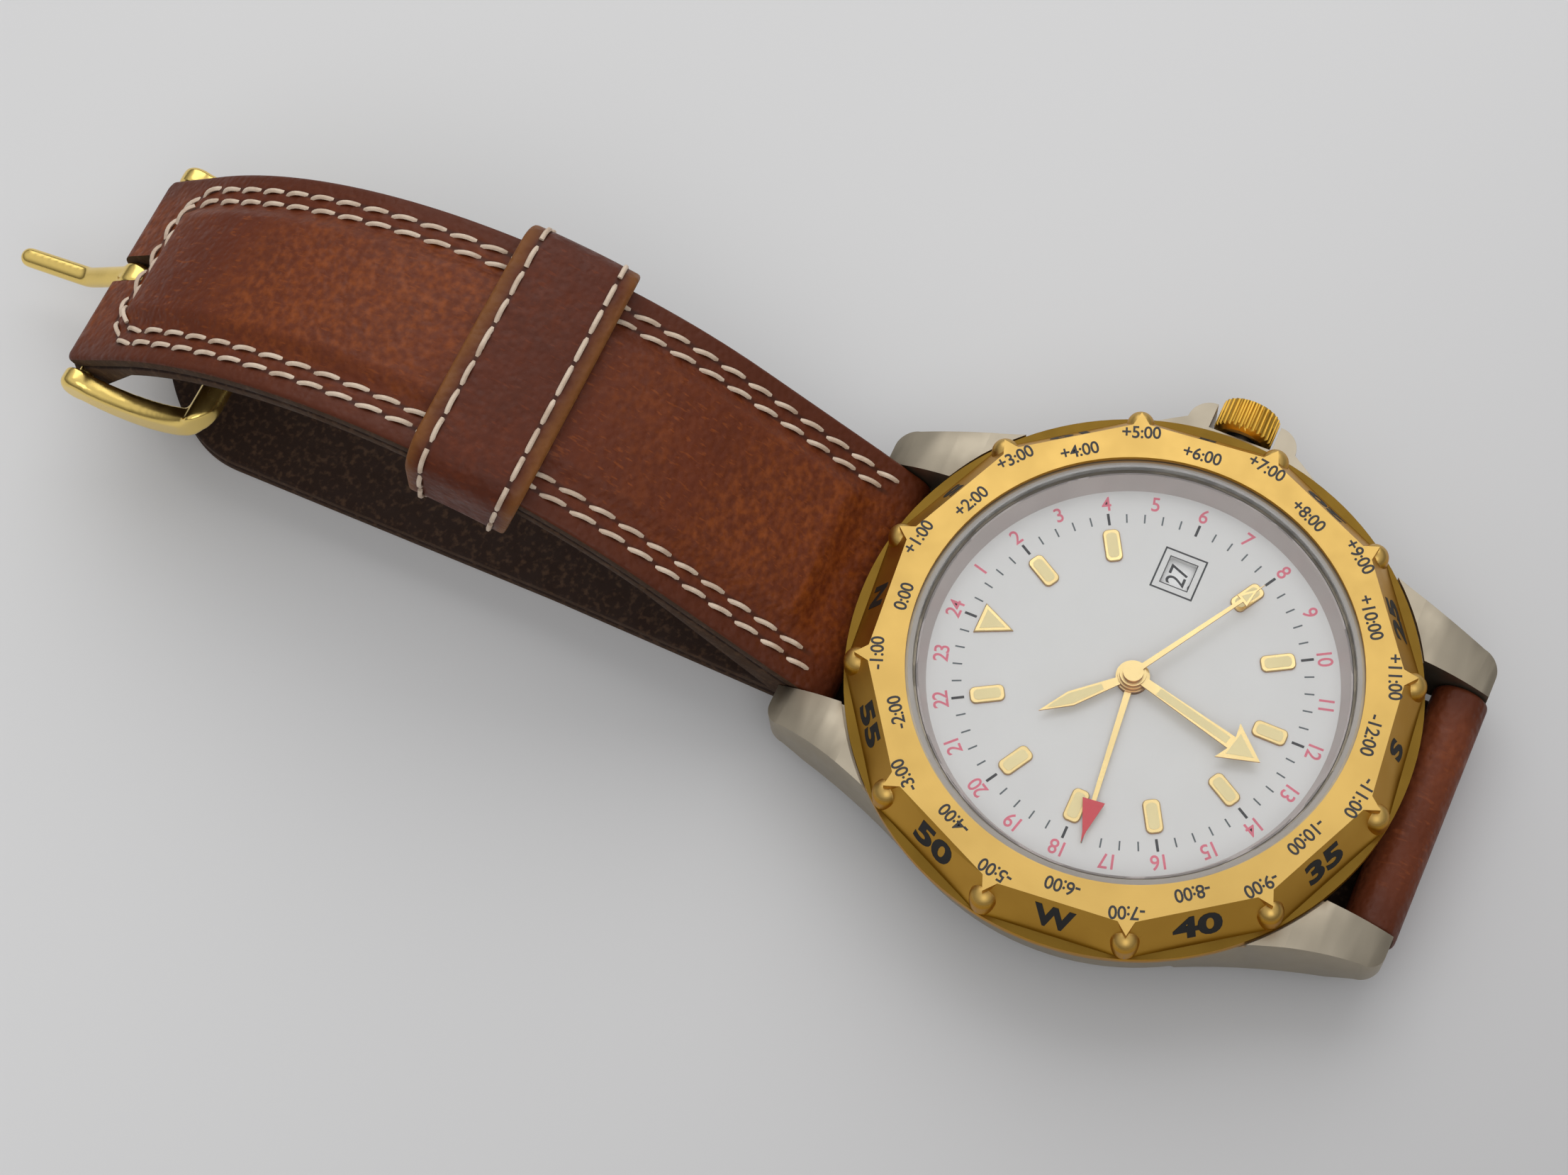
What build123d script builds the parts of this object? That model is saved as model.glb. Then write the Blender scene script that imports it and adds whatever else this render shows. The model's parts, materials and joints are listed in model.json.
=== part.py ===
"""World time watch on a leather strap, lying with its tail strap folded under the case.

Millimetres. +Z is up and square to the dial, +Y points to 12 o'clock and +X to the crown.
The origin is on the surface that the watch lies on, under the centre of the dial.
"""
from build123d import *
import os
from math import cos, degrees, radians, sin, sqrt

os.makedirs("parts", exist_ok=True)

# Fits and allowances that all pieces share
running_fit = 0.05
free_fit = 0.1
soft_fit = 0.2
cut_overrun = 2.0

# Strap: layers, widths and the way it lies
leather_thickness = 1.2
lining_thickness = 1.0
pad_rise = 0.7
lug_gap = 20.0
strap_end_width = 17.4
tail_width = 17.0
tail_reach = 84.5
tail_tip_length = 11.0
tail_bow_share = 0.72
tail_rise_share = 0.62
tail_taper_reach = 45.0
tail_bend_radius = 3.9
hole_radius = 0.95
hole_pitch = 6.5
hole_count = 7
tip_to_first_hole = 24.0
loop_radius = 2.1
rise_angle = 36.0
fall_angle = 38.0
lead_length = 15.5
arch_radius = 39.0
fall_length = 6.5
fold_radius = 1.9
stitched_border = 3.0
pad_corner = 3.2
pad_end_gap = 4.5
slot_width = 2.4
slot_depth = 1.85

# Keeper
keeper_leather = 1.1
keeper_length = 8.7
keeper_angle = -12.4
keeper_back_travel = 8.0
keeper_slack = 2.7
keeper_side_play = 0.1
keeper_corner = 1.4

# Buckle: frame, pin and tongue
pin_radius = 0.6
pin_bite = 0.9
frame_arm = 1.6
frame_side_play = 0.35
frame_length = 11.5
frame_rise_angle = 11.0
frame_bow = 1.5
frame_mid_height = 2.7
frame_eye_radius = 1.5
bar_radius = 1.15
frame_corner = 3.0
frame_edge = 0.4
tongue_eye_wall = 1.1
tongue_eye_width = 2.0
tongue_eye_edge = 0.3
tongue_root_angle = -37.0
tongue_root_length = 6.4
tongue_root_radius = 0.85
tongue_prong_angle = -8.0
tongue_prong_length = 6.0
tongue_prong_radius = 0.8
tongue_bend_radius = 2.0

# Case: overall form
case_radius = 20.3
back_stand = 0.6
dial_over_back = 6.9
shoulder_under_dial = 1.0
crystal_seat_over_dial = 1.75
neck_over_dial = 2.3
bezel_top_over_dial = 2.85
case_bore = 15.95
neck_radius = 17.25
back_radius = 17.2
back_thickness = 1.2
back_rim_radius = 16.3
back_lip = 0.5
lug_nose = 1.8
lug_top_under_dial = 0.3
lug_tip_top_under_dial = 2.5
lug_tip_bottom_under_dial = 5.1
lug_flat_reach = 17.5
lug_root_reach = 10.6
lug_waist = (14.7, 17.0)
lug_tip_width = 3.1
lug_tip_round = 1.5
bar_drop = 4.3
bar_hole_depth = 1.1
lug_arch_share = 0.55
lug_arch_drop_share = 0.3
lug_under_share = 0.86
case_edge = 0.5
back_edge = 0.3
pry_width = 3.0
pry_depth = 0.7
gasket_width = 0.35
gasket_height = 0.5

# Crown, its guards, tube and stem
crown_axis_drop = 2.0
crown_radius = 2.3
crown_length = 3.0
crown_stand_off = 1.7
crown_dome = 0.45
crown_dome_share = 0.25
crown_groove_count = 30
crown_groove_radius = 0.17
crown_recess_radius = 1.4
crown_recess_depth = 2.1
crown_pull = 1.0
guard_gap = 0.25
guard_cover = 1.9
guard_tip_width = 1.8
guard_root_reach = 10.4
guard_waist_rise = 0.3
guard_waist_reach = 6.6
guard_thickness = 3.4
tube_radius = 0.9
tube_bore = 0.55
tube_end_gap = 0.5
stem_radius = 0.45
stem_inner_end = 6.8
stem_neck_radius = 0.25
stem_neck_start = 10.9
stem_neck_length = 0.7
pinion_radius = 0.9
pinion_length = 1.4
pinion_start = 8.9
pinion_teeth = 12
stem_bite = 0.5
crown_gasket_inset = 0.2
crown_gasket_length = 0.5

# Bezel
bezel_bore = 17.35
bezel_lip_radius = 16.7
bezel_lip = 0.45
bezel_base_radius = 21.3
bezel_base_height = 0.75
bezel_sides = 12
bezel_turn = 5.5
panel_apothem = 18.9
panel_foot_radius = 20.55
point_reach = 20.45
point_width = 2.6
point_height = 0.7
stud_radius = 1.05
stud_height = 1.9
click_wire_radius = 0.2
click_wire_room = 0.25
click_wire_rise = 1.5
wire_opening_angle = 12.0

# Crystal, its gasket and the sloping flange
crystal_radius = 16.15
crystal_thickness = 1.2
crystal_bevel = 0.25
crystal_gasket_wall = 0.35
flange_foot_radius = 15.2
flange_head_radius = 15.75

# Dial and what it carries
dial_radius = 15.85
dial_thickness = 0.4
dial_hole = 1.25
window_place = 9.15
window_width = 2.2
window_height = 2.1
foot_radius = 0.35
foot_place = 11.9
foot_length = 1.4
foot_angles = (100.0, 280.0)
marker_place = 10.75
marker_length = 2.6
marker_width = 1.3
marker_height = 0.2
marker_corner = 0.43
marker_edge = 0.07
triangle_base_place = 12.2
triangle_tip_place = 9.5
triangle_half_width = 1.25

# Hands, measured from the centre to the point
hand_thickness = 0.14
gmt_hand_lift = 0.3
hour_hand_lift = 0.6
minute_hand_lift = 0.9
second_hand_lift = 1.2
hand_top_lift = 1.5
gmt_hand_length = 13.5
hour_hand_length = 7.45
minute_hand_length = 11.3
second_hand_length = 12.1
gmt_hand_angle = 264.0
hour_hand_angle = 315.0
minute_hand_angle = 194.0
second_hand_angle = 121.5
second_boss = 0.75
minute_boss = 0.98
hour_boss = 1.12
gmt_boss = 1.26
needle_point = 0.06

# Centre stack of tubes, from the seconds arbor outwards
arbor_radius = 0.15
centre_tube_bore = 0.2
centre_tube_radius = 0.4
cannon_bore = 0.45
cannon_radius = 0.62
hour_tube_bore = 0.67
hour_tube_radius = 0.83
gmt_tube_bore = 0.88
gmt_tube_radius = 1.05

# Shapes of the hands
hour_hand_width = 1.15
hour_hand_root = 0.5
hour_widest_share = 0.66
minute_hand_width = 1.05
minute_head_width = 3.2
minute_head_length = 2.5
minute_barb = 0.35
second_hand_width = 0.42
second_head_width = 1.15
second_head_length = 2.2
second_needle_length = 0.9
gmt_hand_width = 0.5
gmt_head_width = 1.6
gmt_head_length = 3.0
gmt_needle_width = 0.3
hub_rise = 0.1
hand_neck_share = 0.33

# Movement: plates
plate_rim_width = 1.85
plate_thickness = 1.7
plate_top_under_dial = 1.4
plate_rim_bore = 10.95
holder_ledge = 0.6
bridge_radius = 4.9
bridge_place = (1.2, 0.6)
bridge_thickness = 0.4
bridge_edge = 0.1
bridge_under_plate = 1.8
pillar_radius = 0.35
pillar_places = ((-1.9, -2.7), (1.2, 4.9), (2.6, -3.2))
screw_head_radius = 0.65
screw_head_height = 0.3
screw_slot = 0.15
post_radius = 0.35
date_seat_width = 1.1
stem_room = 0.1

# Movement: train wheels, from their pitch sizes
wheel_thickness = 0.15
mesh_gap = 0.05
tooth_depth = 0.14
centre_teeth = 45
third_leaves = 6
third_teeth = 48
fourth_leaves = 6
fourth_teeth = 30
fifth_leaves = 6
fifth_teeth = 36
rotor_leaves = 6
third_distance = 2.8
fifth_distance = 3.4
rotor_distance = 2.2
rotor_radius = 0.85
third_bearing = 135.0
fifth_bearing = 20.0
rotor_bearing = -20.0
pivot_bite = 0.2
fourth_level = 0.35
fifth_pinion_level = 0.2
third_level = 0.75
fifth_level = 0.8
centre_level = 1.2
rotor_level = 0.2
rotor_height = 0.5

# Movement: battery, coil, stator, circuit
battery_radius = 3.9
battery_height = 1.65
battery_place = (-6.2, -4.6)
clamp_width = 2.0
clamp_thickness = 0.2
clamp_reach = 4.7
clamp_foot = 0.6
clamp_bearing = -45.0
battery_edge = 0.2
stator_left = 3.95
stator_right = 6.8
stator_half_length = 6.5
stator_thickness = 0.4
stator_arm_width = 1.2
stator_level = 0.25
rotor_room = 1.05
coil_place = 9.1
coil_core_width = 1.0
coil_winding = 0.25
coil_half_length = 5.0
board_thickness = 0.2
board_left = -5.0
board_right = 7.4
board_near = -12.0
board_far = -8.9
board_post_y = -9.6
can_radius = 0.6
can_length = 4.5
can_post_share = 0.33

# Calendar and dial side wheels
cannon_leaves = 8
minute_wheel_teeth = 24
minute_wheel_leaves = 6
hour_wheel_teeth = 24
hour_wheel_upper_teeth = 16
day_wheel_lower_teeth = 32
day_wheel_upper_teeth = 24
gmt_wheel_teeth = 24
minute_wheel_distance = 3.4
day_wheel_distance = 4.05
minute_wheel_bearing = 210.0
day_wheel_bearing = 45.0
dial_side_first = 0.1
dial_side_level = 0.2
date_ring_bore = 7.4
date_ring_radius = 10.9
date_ring_thickness = 0.2
date_ring_drop = 0.15
date_tooth_count = 31
date_tooth_room = 0.3
date_tooth_width = 0.6
jumper_thickness = 0.15
jumper_width = 0.5
jumper_post = (-4.6, 4.4)
jumper_bearing = 158.0

# Setting lever
lever_length = 3.2
lever_thickness = 0.4
lever_tail = 2.4

# Spring bars
bar_tube_radius = 0.75
bar_tube_half = 9.6
bar_tip_radius = 0.4
bar_tip_inside = 2.6
bar_tip_bite = 0.9
bar_tip_edge = 0.1
bar_bore_depth = 3.9

# Heights worked out from the stack, floor upwards
strap_thickness = leather_thickness + lining_thickness
bar_reach = case_radius + free_fit + loop_radius
lug_reach = bar_reach + lug_nose
case_foot = strap_thickness + soft_fit
case_bottom = case_foot + back_stand
dial_face = case_foot + dial_over_back
dial_under = dial_face - dial_thickness
case_shoulder = dial_face - shoulder_under_dial
crystal_seat = dial_face + crystal_seat_over_dial
neck_top = dial_face + neck_over_dial
bezel_bottom = case_shoulder + free_fit
bezel_top = dial_face + bezel_top_over_dial
lug_top = dial_face - lug_top_under_dial
bar_height = dial_face - bar_drop
crown_axis = dial_face - crown_axis_drop
plate_top = dial_face - plate_top_under_dial
plate_bottom = plate_top - plate_thickness
back_inside = case_foot + back_thickness
gasket_top = back_inside + gasket_height
wire_ring_radius = (neck_radius + bezel_bore) / 2
bridge_bottom = plate_bottom - bridge_under_plate
bridge_top = bridge_bottom + bridge_thickness
crown_start = case_radius + crown_stand_off
crown_end = crown_start + crown_length
guard_waist = (case_radius + guard_waist_rise, guard_waist_reach)
guard_reach = crown_start + guard_cover
tube_reach = crown_start + crown_recess_depth - tube_end_gap
plate_radius = plate_rim_bore + plate_rim_width
stem_end = crown_end - stem_bite
strap_lug_width = lug_gap - 2 * free_fit

# Directions used with the helpers below
half_turn = 180.0
quarter_turn = 90.0
full_turn = 360.0
hour_angle = full_turn / 12


def step(start, angle, along, rise):
    """Point of the side view, so far along a direction and so far square to it."""
    turn = radians(angle)
    return (
        start[0] + along * cos(turn) - rise * sin(turn),
        start[1] + along * sin(turn) + rise * cos(turn),
    )


def polar(radius, bearing):
    """Point of the plan, at a radius and a bearing counted from +X."""
    return (radius * cos(radians(bearing)), radius * sin(radians(bearing)))


def clock_plane(height, angle):
    """Level plane whose +Y points at a clock angle, counted clockwise from 12 o'clock."""
    turn = radians(angle)
    return Plane(origin=(0, 0, height), x_dir=(cos(turn), -sin(turn), 0), z_dir=(0, 0, 1))


def toothed_disc(height, place, radius, teeth):
    """Outline of a wheel: a disc whose rim is notched between its teeth."""
    with BuildSketch(Plane.XY.offset(height)) as disc:
        with Locations(place):
            Circle(radius)
            with PolarLocations(radius, teeth):
                Rectangle(2 * tooth_depth, tooth_depth, mode=Mode.SUBTRACT)
    return disc.sketch


def round_outline(height, place, radius):
    """Outline of a plain round boss, arbor or hole."""
    with BuildSketch(Plane.XY.offset(height)) as disc:
        with Locations(place):
            Circle(radius)
    return disc.sketch


# Points of the strap's side view, as (y, z)
bar_12 = (bar_reach, bar_height)
bar_6 = (-bar_reach, bar_height)
arch_centre = step(bar_12, rise_angle, lead_length, loop_radius - arch_radius)
buckle_axis = step(arch_centre, -fall_angle, fall_length, arch_radius - fold_radius)
bar_bore = bar_tube_radius + free_fit
pin_bore = pin_radius + running_fit


def strap_layer(outer, inner):
    """Side view of one layer of the buckle strap, between two depths below its face."""
    with BuildSketch(Plane.YZ) as layer:
        with BuildLine():
            Polyline(
                step(bar_12, rise_angle, 0, loop_radius - inner),
                step(bar_12, rise_angle, 0, loop_radius - outer),
                step(bar_12, rise_angle, lead_length, loop_radius - outer),
            )
            CenterArc(
                arch_centre, arch_radius - outer, quarter_turn + rise_angle, -rise_angle - fall_angle
            )
            Polyline(
                step(arch_centre, -fall_angle, 0, arch_radius - outer),
                step(arch_centre, -fall_angle, fall_length, arch_radius - outer),
                step(arch_centre, -fall_angle, fall_length, arch_radius - inner),
                step(arch_centre, -fall_angle, 0, arch_radius - inner),
            )
            CenterArc(
                arch_centre, arch_radius - inner, quarter_turn - fall_angle, rise_angle + fall_angle
            )
            Line(
                step(bar_12, rise_angle, lead_length, loop_radius - inner),
                step(bar_12, rise_angle, 0, loop_radius - inner),
            )
        make_face()
    return layer.sketch


def side_circle(centre, radius):
    """Circle of the side view, for a loop, an eye or a bore across the strap."""
    with BuildSketch(Plane.YZ) as disc:
        with Locations(centre):
            Circle(radius)
    return disc.sketch


strap_far_end = buckle_axis[0] + fold_radius
strap_near_end = bar_reach - loop_radius
strap_parallel_end = bar_reach + loop_radius


def buckle_strap_plan(inset, far_end, corner):
    """Plan of the buckle strap: parallel between the lugs, then tapering to the buckle."""
    with BuildSketch() as plan:
        with BuildLine():
            Polyline(
                (-strap_lug_width / 2 + inset, strap_near_end - cut_overrun),
                (-strap_lug_width / 2 + inset, strap_parallel_end),
                (-strap_end_width / 2 + inset, far_end - corner),
                (-strap_end_width / 2 + inset + corner, far_end),
                (strap_end_width / 2 - inset - corner, far_end),
                (strap_end_width / 2 - inset, far_end - corner),
                (strap_lug_width / 2 - inset, strap_parallel_end),
                (strap_lug_width / 2 - inset, strap_near_end - cut_overrun),
                close=True,
            )
        make_face()
    return plan.sketch


def strap_width_at(place):
    """Width of the buckle strap at a place along +Y, in its tapering stretch."""
    share = (place - strap_parallel_end) / (strap_far_end - strap_parallel_end)
    return strap_lug_width + share * (strap_end_width - strap_lug_width)


strap_height = arch_centre[1] + arch_radius + pad_rise + cut_overrun
pad_end = strap_far_end - fold_radius - pad_end_gap
end_corner = leather_thickness / 2

# Padding of the buckle strap, between its leather and its lining
with BuildPart() as strap_12_filler:
    extrude(strap_layer(leather_thickness - pad_rise, leather_thickness), amount=lug_gap, both=True)
    extrude(
        buckle_strap_plan(stitched_border + pad_rise, pad_end - pad_rise, pad_corner),
        amount=strap_height,
        mode=Mode.INTERSECT,
    )
    with BuildSketch(Plane.XZ.offset(-strap_parallel_end)):
        Rectangle(2 * lug_gap, 2 * strap_height)
    extrude(amount=lug_gap, mode=Mode.SUBTRACT)
strap_12_filler.part.label = "strap_12_filler"
export_step(strap_12_filler.part, "parts/strap_12_filler.step")

# Raised middle of the strap's face, over the padding
with BuildPart() as raised_face:
    extrude(strap_layer(-pad_rise, leather_thickness), amount=lug_gap, both=True)
    extrude(
        buckle_strap_plan(stitched_border, pad_end, pad_corner), amount=strap_height, mode=Mode.INTERSECT
    )
    with BuildSketch(Plane.XZ.offset(-strap_parallel_end + pad_rise)):
        Rectangle(2 * lug_gap, 2 * strap_height)
    extrude(amount=lug_gap, mode=Mode.SUBTRACT)

# Leather of the buckle strap, turned round the spring bar and round the buckle pin
with BuildPart() as strap_12_leather:
    extrude(strap_layer(0, leather_thickness), amount=lug_gap, both=True)
    extrude(side_circle(bar_12, loop_radius), amount=lug_gap, both=True)
    extrude(side_circle(buckle_axis, fold_radius), amount=lug_gap, both=True)
    extrude(
        buckle_strap_plan(0, strap_far_end + cut_overrun, end_corner),
        amount=strap_height,
        mode=Mode.INTERSECT,
    )
    add(raised_face.part)
    add(strap_12_filler.part, mode=Mode.SUBTRACT)
    extrude(side_circle(bar_12, bar_bore), amount=lug_gap, both=True, mode=Mode.SUBTRACT)
    extrude(side_circle(buckle_axis, pin_radius), amount=lug_gap, both=True, mode=Mode.SUBTRACT)
    with BuildSketch() as tongue_slot:
        with Locations((0, buckle_axis[0] + cut_overrun)):
            Rectangle(slot_width, 2 * (slot_depth + cut_overrun))
    extrude(amount=strap_height, mode=Mode.SUBTRACT)
strap_12_leather.part.label = "strap_12_leather"
export_step(strap_12_leather.part, "parts/strap_12_leather.step")

# Wedges that thicken the strap towards its spring bar and its buckle pin
with BuildPart() as end_wedges:
    with BuildSketch(Plane.YZ):
        with BuildLine():
            Polyline(
                step(bar_12, rise_angle, 0, loop_radius - strap_thickness),
                step(bar_12, rise_angle, lead_length, loop_radius - strap_thickness),
                step(bar_12, rise_angle, 0, -loop_radius),
                close=True,
            )
        make_face()
        with BuildLine():
            Polyline(
                step(arch_centre, -fall_angle, 0, arch_radius - strap_thickness),
                step(arch_centre, -fall_angle, fall_length, arch_radius - strap_thickness),
                step(arch_centre, -fall_angle, fall_length, arch_radius - 2 * fold_radius),
                close=True,
            )
        make_face()
    extrude(amount=lug_gap, both=True)

# Lining under the buckle strap
with BuildPart() as strap_12_lining:
    extrude(strap_layer(leather_thickness, strap_thickness), amount=lug_gap, both=True)
    add(end_wedges.part)
    extrude(side_circle(bar_12, loop_radius), amount=lug_gap, both=True, mode=Mode.SUBTRACT)
    extrude(side_circle(buckle_axis, fold_radius), amount=lug_gap, both=True, mode=Mode.SUBTRACT)
    extrude(
        buckle_strap_plan(0, strap_far_end + cut_overrun, end_corner),
        amount=strap_height,
        mode=Mode.INTERSECT,
    )
    with BuildSketch():
        with Locations((0, buckle_axis[0] + cut_overrun)):
            Rectangle(slot_width, 2 * (slot_depth + cut_overrun))
    extrude(amount=strap_height, mode=Mode.SUBTRACT)
strap_12_lining.part.label = "strap_12_lining"
export_step(strap_12_lining.part, "parts/strap_12_lining.step")

# Tail strap: it leaves its spring bar, bends down and runs back flat under the case
bend_centre = (-bar_reach - loop_radius + tail_bend_radius, tail_bend_radius)
first_hole = tail_reach - tip_to_first_hole
hole_places = [(0, first_hole - index * hole_pitch) for index in range(hole_count)]


def tail_plan():
    """Plan of the tail strap: it tapers to a parallel stretch and ends in a pointed arch."""
    tip_start = tail_reach - tail_tip_length
    with BuildSketch() as plan:
        with BuildLine():
            Polyline(
                (tail_width / 2, tip_start),
                (tail_width / 2, tail_taper_reach),
                (strap_lug_width / 2, -bar_reach + loop_radius),
                (strap_lug_width / 2, -bar_reach - loop_radius - cut_overrun),
                (-strap_lug_width / 2, -bar_reach - loop_radius - cut_overrun),
                (-strap_lug_width / 2, -bar_reach + loop_radius),
                (-tail_width / 2, tail_taper_reach),
                (-tail_width / 2, tip_start),
            )
            for side in (-1, 1):
                ThreePointArc(
                    (side * tail_width / 2, tip_start),
                    (side * tail_bow_share * tail_width / 2, tip_start + tail_rise_share * tail_tip_length),
                    (0, tail_reach),
                )
        make_face()
        with Locations(*hole_places):
            Circle(hole_radius, mode=Mode.SUBTRACT)
    return plan.sketch


def tail_layer(outer, inner, top):
    """Side view of one layer of the tail strap, between two depths inside its face."""
    with BuildSketch(Plane.YZ) as layer:
        with BuildLine():
            Polyline(
                (bend_centre[0], inner),
                (tail_reach + cut_overrun, inner),
                (tail_reach + cut_overrun, outer),
                (bend_centre[0], outer),
            )
            CenterArc(bend_centre, tail_bend_radius - outer, -quarter_turn, -quarter_turn)
            Polyline(
                (bend_centre[0] - tail_bend_radius + outer, bend_centre[1]),
                (bend_centre[0] - tail_bend_radius + outer, top),
                (bend_centre[0] - tail_bend_radius + inner, top),
                (bend_centre[0] - tail_bend_radius + inner, bend_centre[1]),
            )
            CenterArc(bend_centre, tail_bend_radius - inner, -half_turn, quarter_turn)
        make_face()
    return layer.sketch


with BuildPart() as strap_6_leather:
    extrude(tail_layer(0, leather_thickness, bar_height), amount=lug_gap, both=True)
    extrude(side_circle(bar_6, loop_radius), amount=lug_gap, both=True)
    extrude(tail_plan(), amount=strap_height, mode=Mode.INTERSECT)
    extrude(side_circle(bar_6, bar_bore), amount=lug_gap, both=True, mode=Mode.SUBTRACT)
strap_6_leather.part.label = "strap_6_leather"
export_step(strap_6_leather.part, "parts/strap_6_leather.step")

with BuildPart() as strap_6_lining:
    extrude(tail_layer(leather_thickness, strap_thickness, bar_height), amount=lug_gap, both=True)
    extrude(side_circle(bar_6, loop_radius), amount=lug_gap, both=True, mode=Mode.SUBTRACT)
    extrude(tail_plan(), amount=strap_height, mode=Mode.INTERSECT)
strap_6_lining.part.label = "strap_6_lining"
export_step(strap_6_lining.part, "parts/strap_6_lining.step")

# Keeper: a stitched loop of leather that slides along the arch of the buckle strap
keeper_inner_top = arch_radius + pad_rise + soft_fit
keeper_inner_height = pad_rise + soft_fit + strap_thickness + keeper_slack
keeper_sweep = degrees(keeper_length / arch_radius)
keeper_stop = radians(keeper_angle - keeper_back_travel - keeper_sweep / 2)
keeper_stop_place = arch_centre[0] + arch_radius * sin(keeper_stop)
keeper_inner_width = strap_width_at(keeper_stop_place) + 2 * keeper_side_play
keeper_bearing = radians(keeper_angle - keeper_sweep / 2)
keeper_plane = Plane(
    origin=(0, arch_centre[0], arch_centre[1]),
    x_dir=(1, 0, 0),
    z_dir=(0, -cos(keeper_bearing), sin(keeper_bearing)),
)
with BuildPart() as keeper:
    with BuildSketch(keeper_plane):
        with Locations((0, keeper_inner_top - keeper_inner_height / 2)):
            RectangleRounded(
                keeper_inner_width + 2 * keeper_leather,
                keeper_inner_height + 2 * keeper_leather,
                keeper_corner + keeper_leather,
            )
            RectangleRounded(
                keeper_inner_width, keeper_inner_height, keeper_corner, mode=Mode.SUBTRACT
            )
    revolve(
        axis=Axis((0, arch_centre[0], arch_centre[1]), (-1, 0, 0)), revolution_arc=keeper_sweep
    )
keeper.part.label = "keeper"
export_step(keeper.part, "parts/keeper.step")

# Buckle pin, held in the fold of the strap
frame_inner_half = strap_end_width / 2 + frame_side_play
frame_outer_half = frame_inner_half + frame_arm
with BuildPart() as buckle_pin:
    extrude(side_circle(buckle_axis, pin_radius), amount=frame_inner_half + pin_bite, both=True)
buckle_pin.part.label = "buckle_pin"
export_step(buckle_pin.part, "parts/buckle_pin.step")

# Buckle frame, folded back under the strap
frame_heading = half_turn - frame_rise_angle
frame_bar = step(buckle_axis, frame_heading, frame_length, 0)
frame_plan_far = buckle_axis[0] + frame_eye_radius
frame_plan_near = frame_bar[0] - bar_radius


def frame_profile(place):
    """Side view of the buckle frame, set off across the strap: its eye, its bowed arm and its bar."""
    with BuildSketch(Plane.YZ.offset(place)) as profile:
        with BuildLine():
            ThreePointArc(
                step(buckle_axis, frame_heading, 0, frame_eye_radius),
                step(buckle_axis, frame_heading, frame_length / 2, frame_bow + frame_mid_height / 2),
                step(buckle_axis, frame_heading, frame_length, bar_radius),
            )
            Line(
                step(buckle_axis, frame_heading, frame_length, bar_radius),
                step(buckle_axis, frame_heading, frame_length, -bar_radius),
            )
            ThreePointArc(
                step(buckle_axis, frame_heading, frame_length, -bar_radius),
                step(buckle_axis, frame_heading, frame_length / 2, frame_bow - frame_mid_height / 2),
                step(buckle_axis, frame_heading, 0, -frame_eye_radius),
            )
            Line(
                step(buckle_axis, frame_heading, 0, -frame_eye_radius),
                step(buckle_axis, frame_heading, 0, frame_eye_radius),
            )
        make_face()
        with Locations(buckle_axis):
            Circle(frame_eye_radius)
        with Locations(frame_bar):
            Circle(bar_radius)
    return profile.sketch


with BuildPart() as buckle_frame:
    frame_flat_half = frame_outer_half - frame_edge
    extrude(frame_profile(0), amount=frame_flat_half, both=True)
    extrude(frame_profile(frame_flat_half), amount=frame_edge, taper=quarter_turn / 2)
    mirror(about=Plane.YZ)
    with BuildSketch():
        with Locations((0, (frame_plan_far + frame_plan_near) / 2 + frame_corner)):
            RectangleRounded(
                2 * frame_outer_half,
                frame_plan_far - frame_plan_near + 2 * frame_corner,
                frame_corner,
            )
    extrude(amount=strap_height, mode=Mode.INTERSECT)
    with BuildSketch():
        with Locations((0, frame_bar[0] + bar_radius + strap_height / 2)):
            Rectangle(2 * frame_inner_half, strap_height)
    extrude(amount=strap_height, mode=Mode.SUBTRACT)
    extrude(
        side_circle(buckle_axis, pin_bore),
        amount=frame_inner_half + pin_bite,
        both=True,
        mode=Mode.SUBTRACT,
    )
buckle_frame.part.label = "buckle_frame"
export_step(buckle_frame.part, "parts/buckle_frame.step")

# Buckle tongue: an eye round the pin, and a round root that bends into the prong
tongue_eye = pin_radius + tongue_eye_wall
tongue_rise = tongue_eye - tongue_root_radius
tongue_start = step(buckle_axis, tongue_root_angle, 0, tongue_rise)
tongue_bend = step(buckle_axis, tongue_root_angle, tongue_root_length, tongue_rise)
tongue_tip = step(tongue_bend, tongue_prong_angle, tongue_prong_length, 0)
with BuildPart() as buckle_tongue:
    with BuildSketch(Plane.YZ):
        with Locations(buckle_axis):
            Circle(tongue_eye)
    extrude(amount=tongue_eye_width / 2, both=True)
    chamfer(buckle_tongue.edges(), tongue_eye_edge)
    with BuildLine():
        tongue_path = FilletPolyline(
            (0, *tongue_start), (0, *tongue_bend), (0, *tongue_tip), radius=tongue_bend_radius
        )
    with BuildSketch(Plane(origin=tongue_path @ 0, z_dir=tongue_path % 0)):
        Circle(tongue_root_radius)
    with BuildSketch(Plane(origin=tongue_path @ 1, z_dir=tongue_path % 1)):
        Circle(tongue_prong_radius)
    sweep(path=tongue_path, multisection=True)
    with Locations(tongue_path @ 1):
        Sphere(tongue_prong_radius)
    extrude(
        side_circle(buckle_axis, pin_bore), amount=tongue_eye_width, both=True, mode=Mode.SUBTRACT
    )
buckle_tongue.part.label = "buckle_tongue"
export_step(buckle_tongue.part, "parts/buckle_tongue.step")

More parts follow.
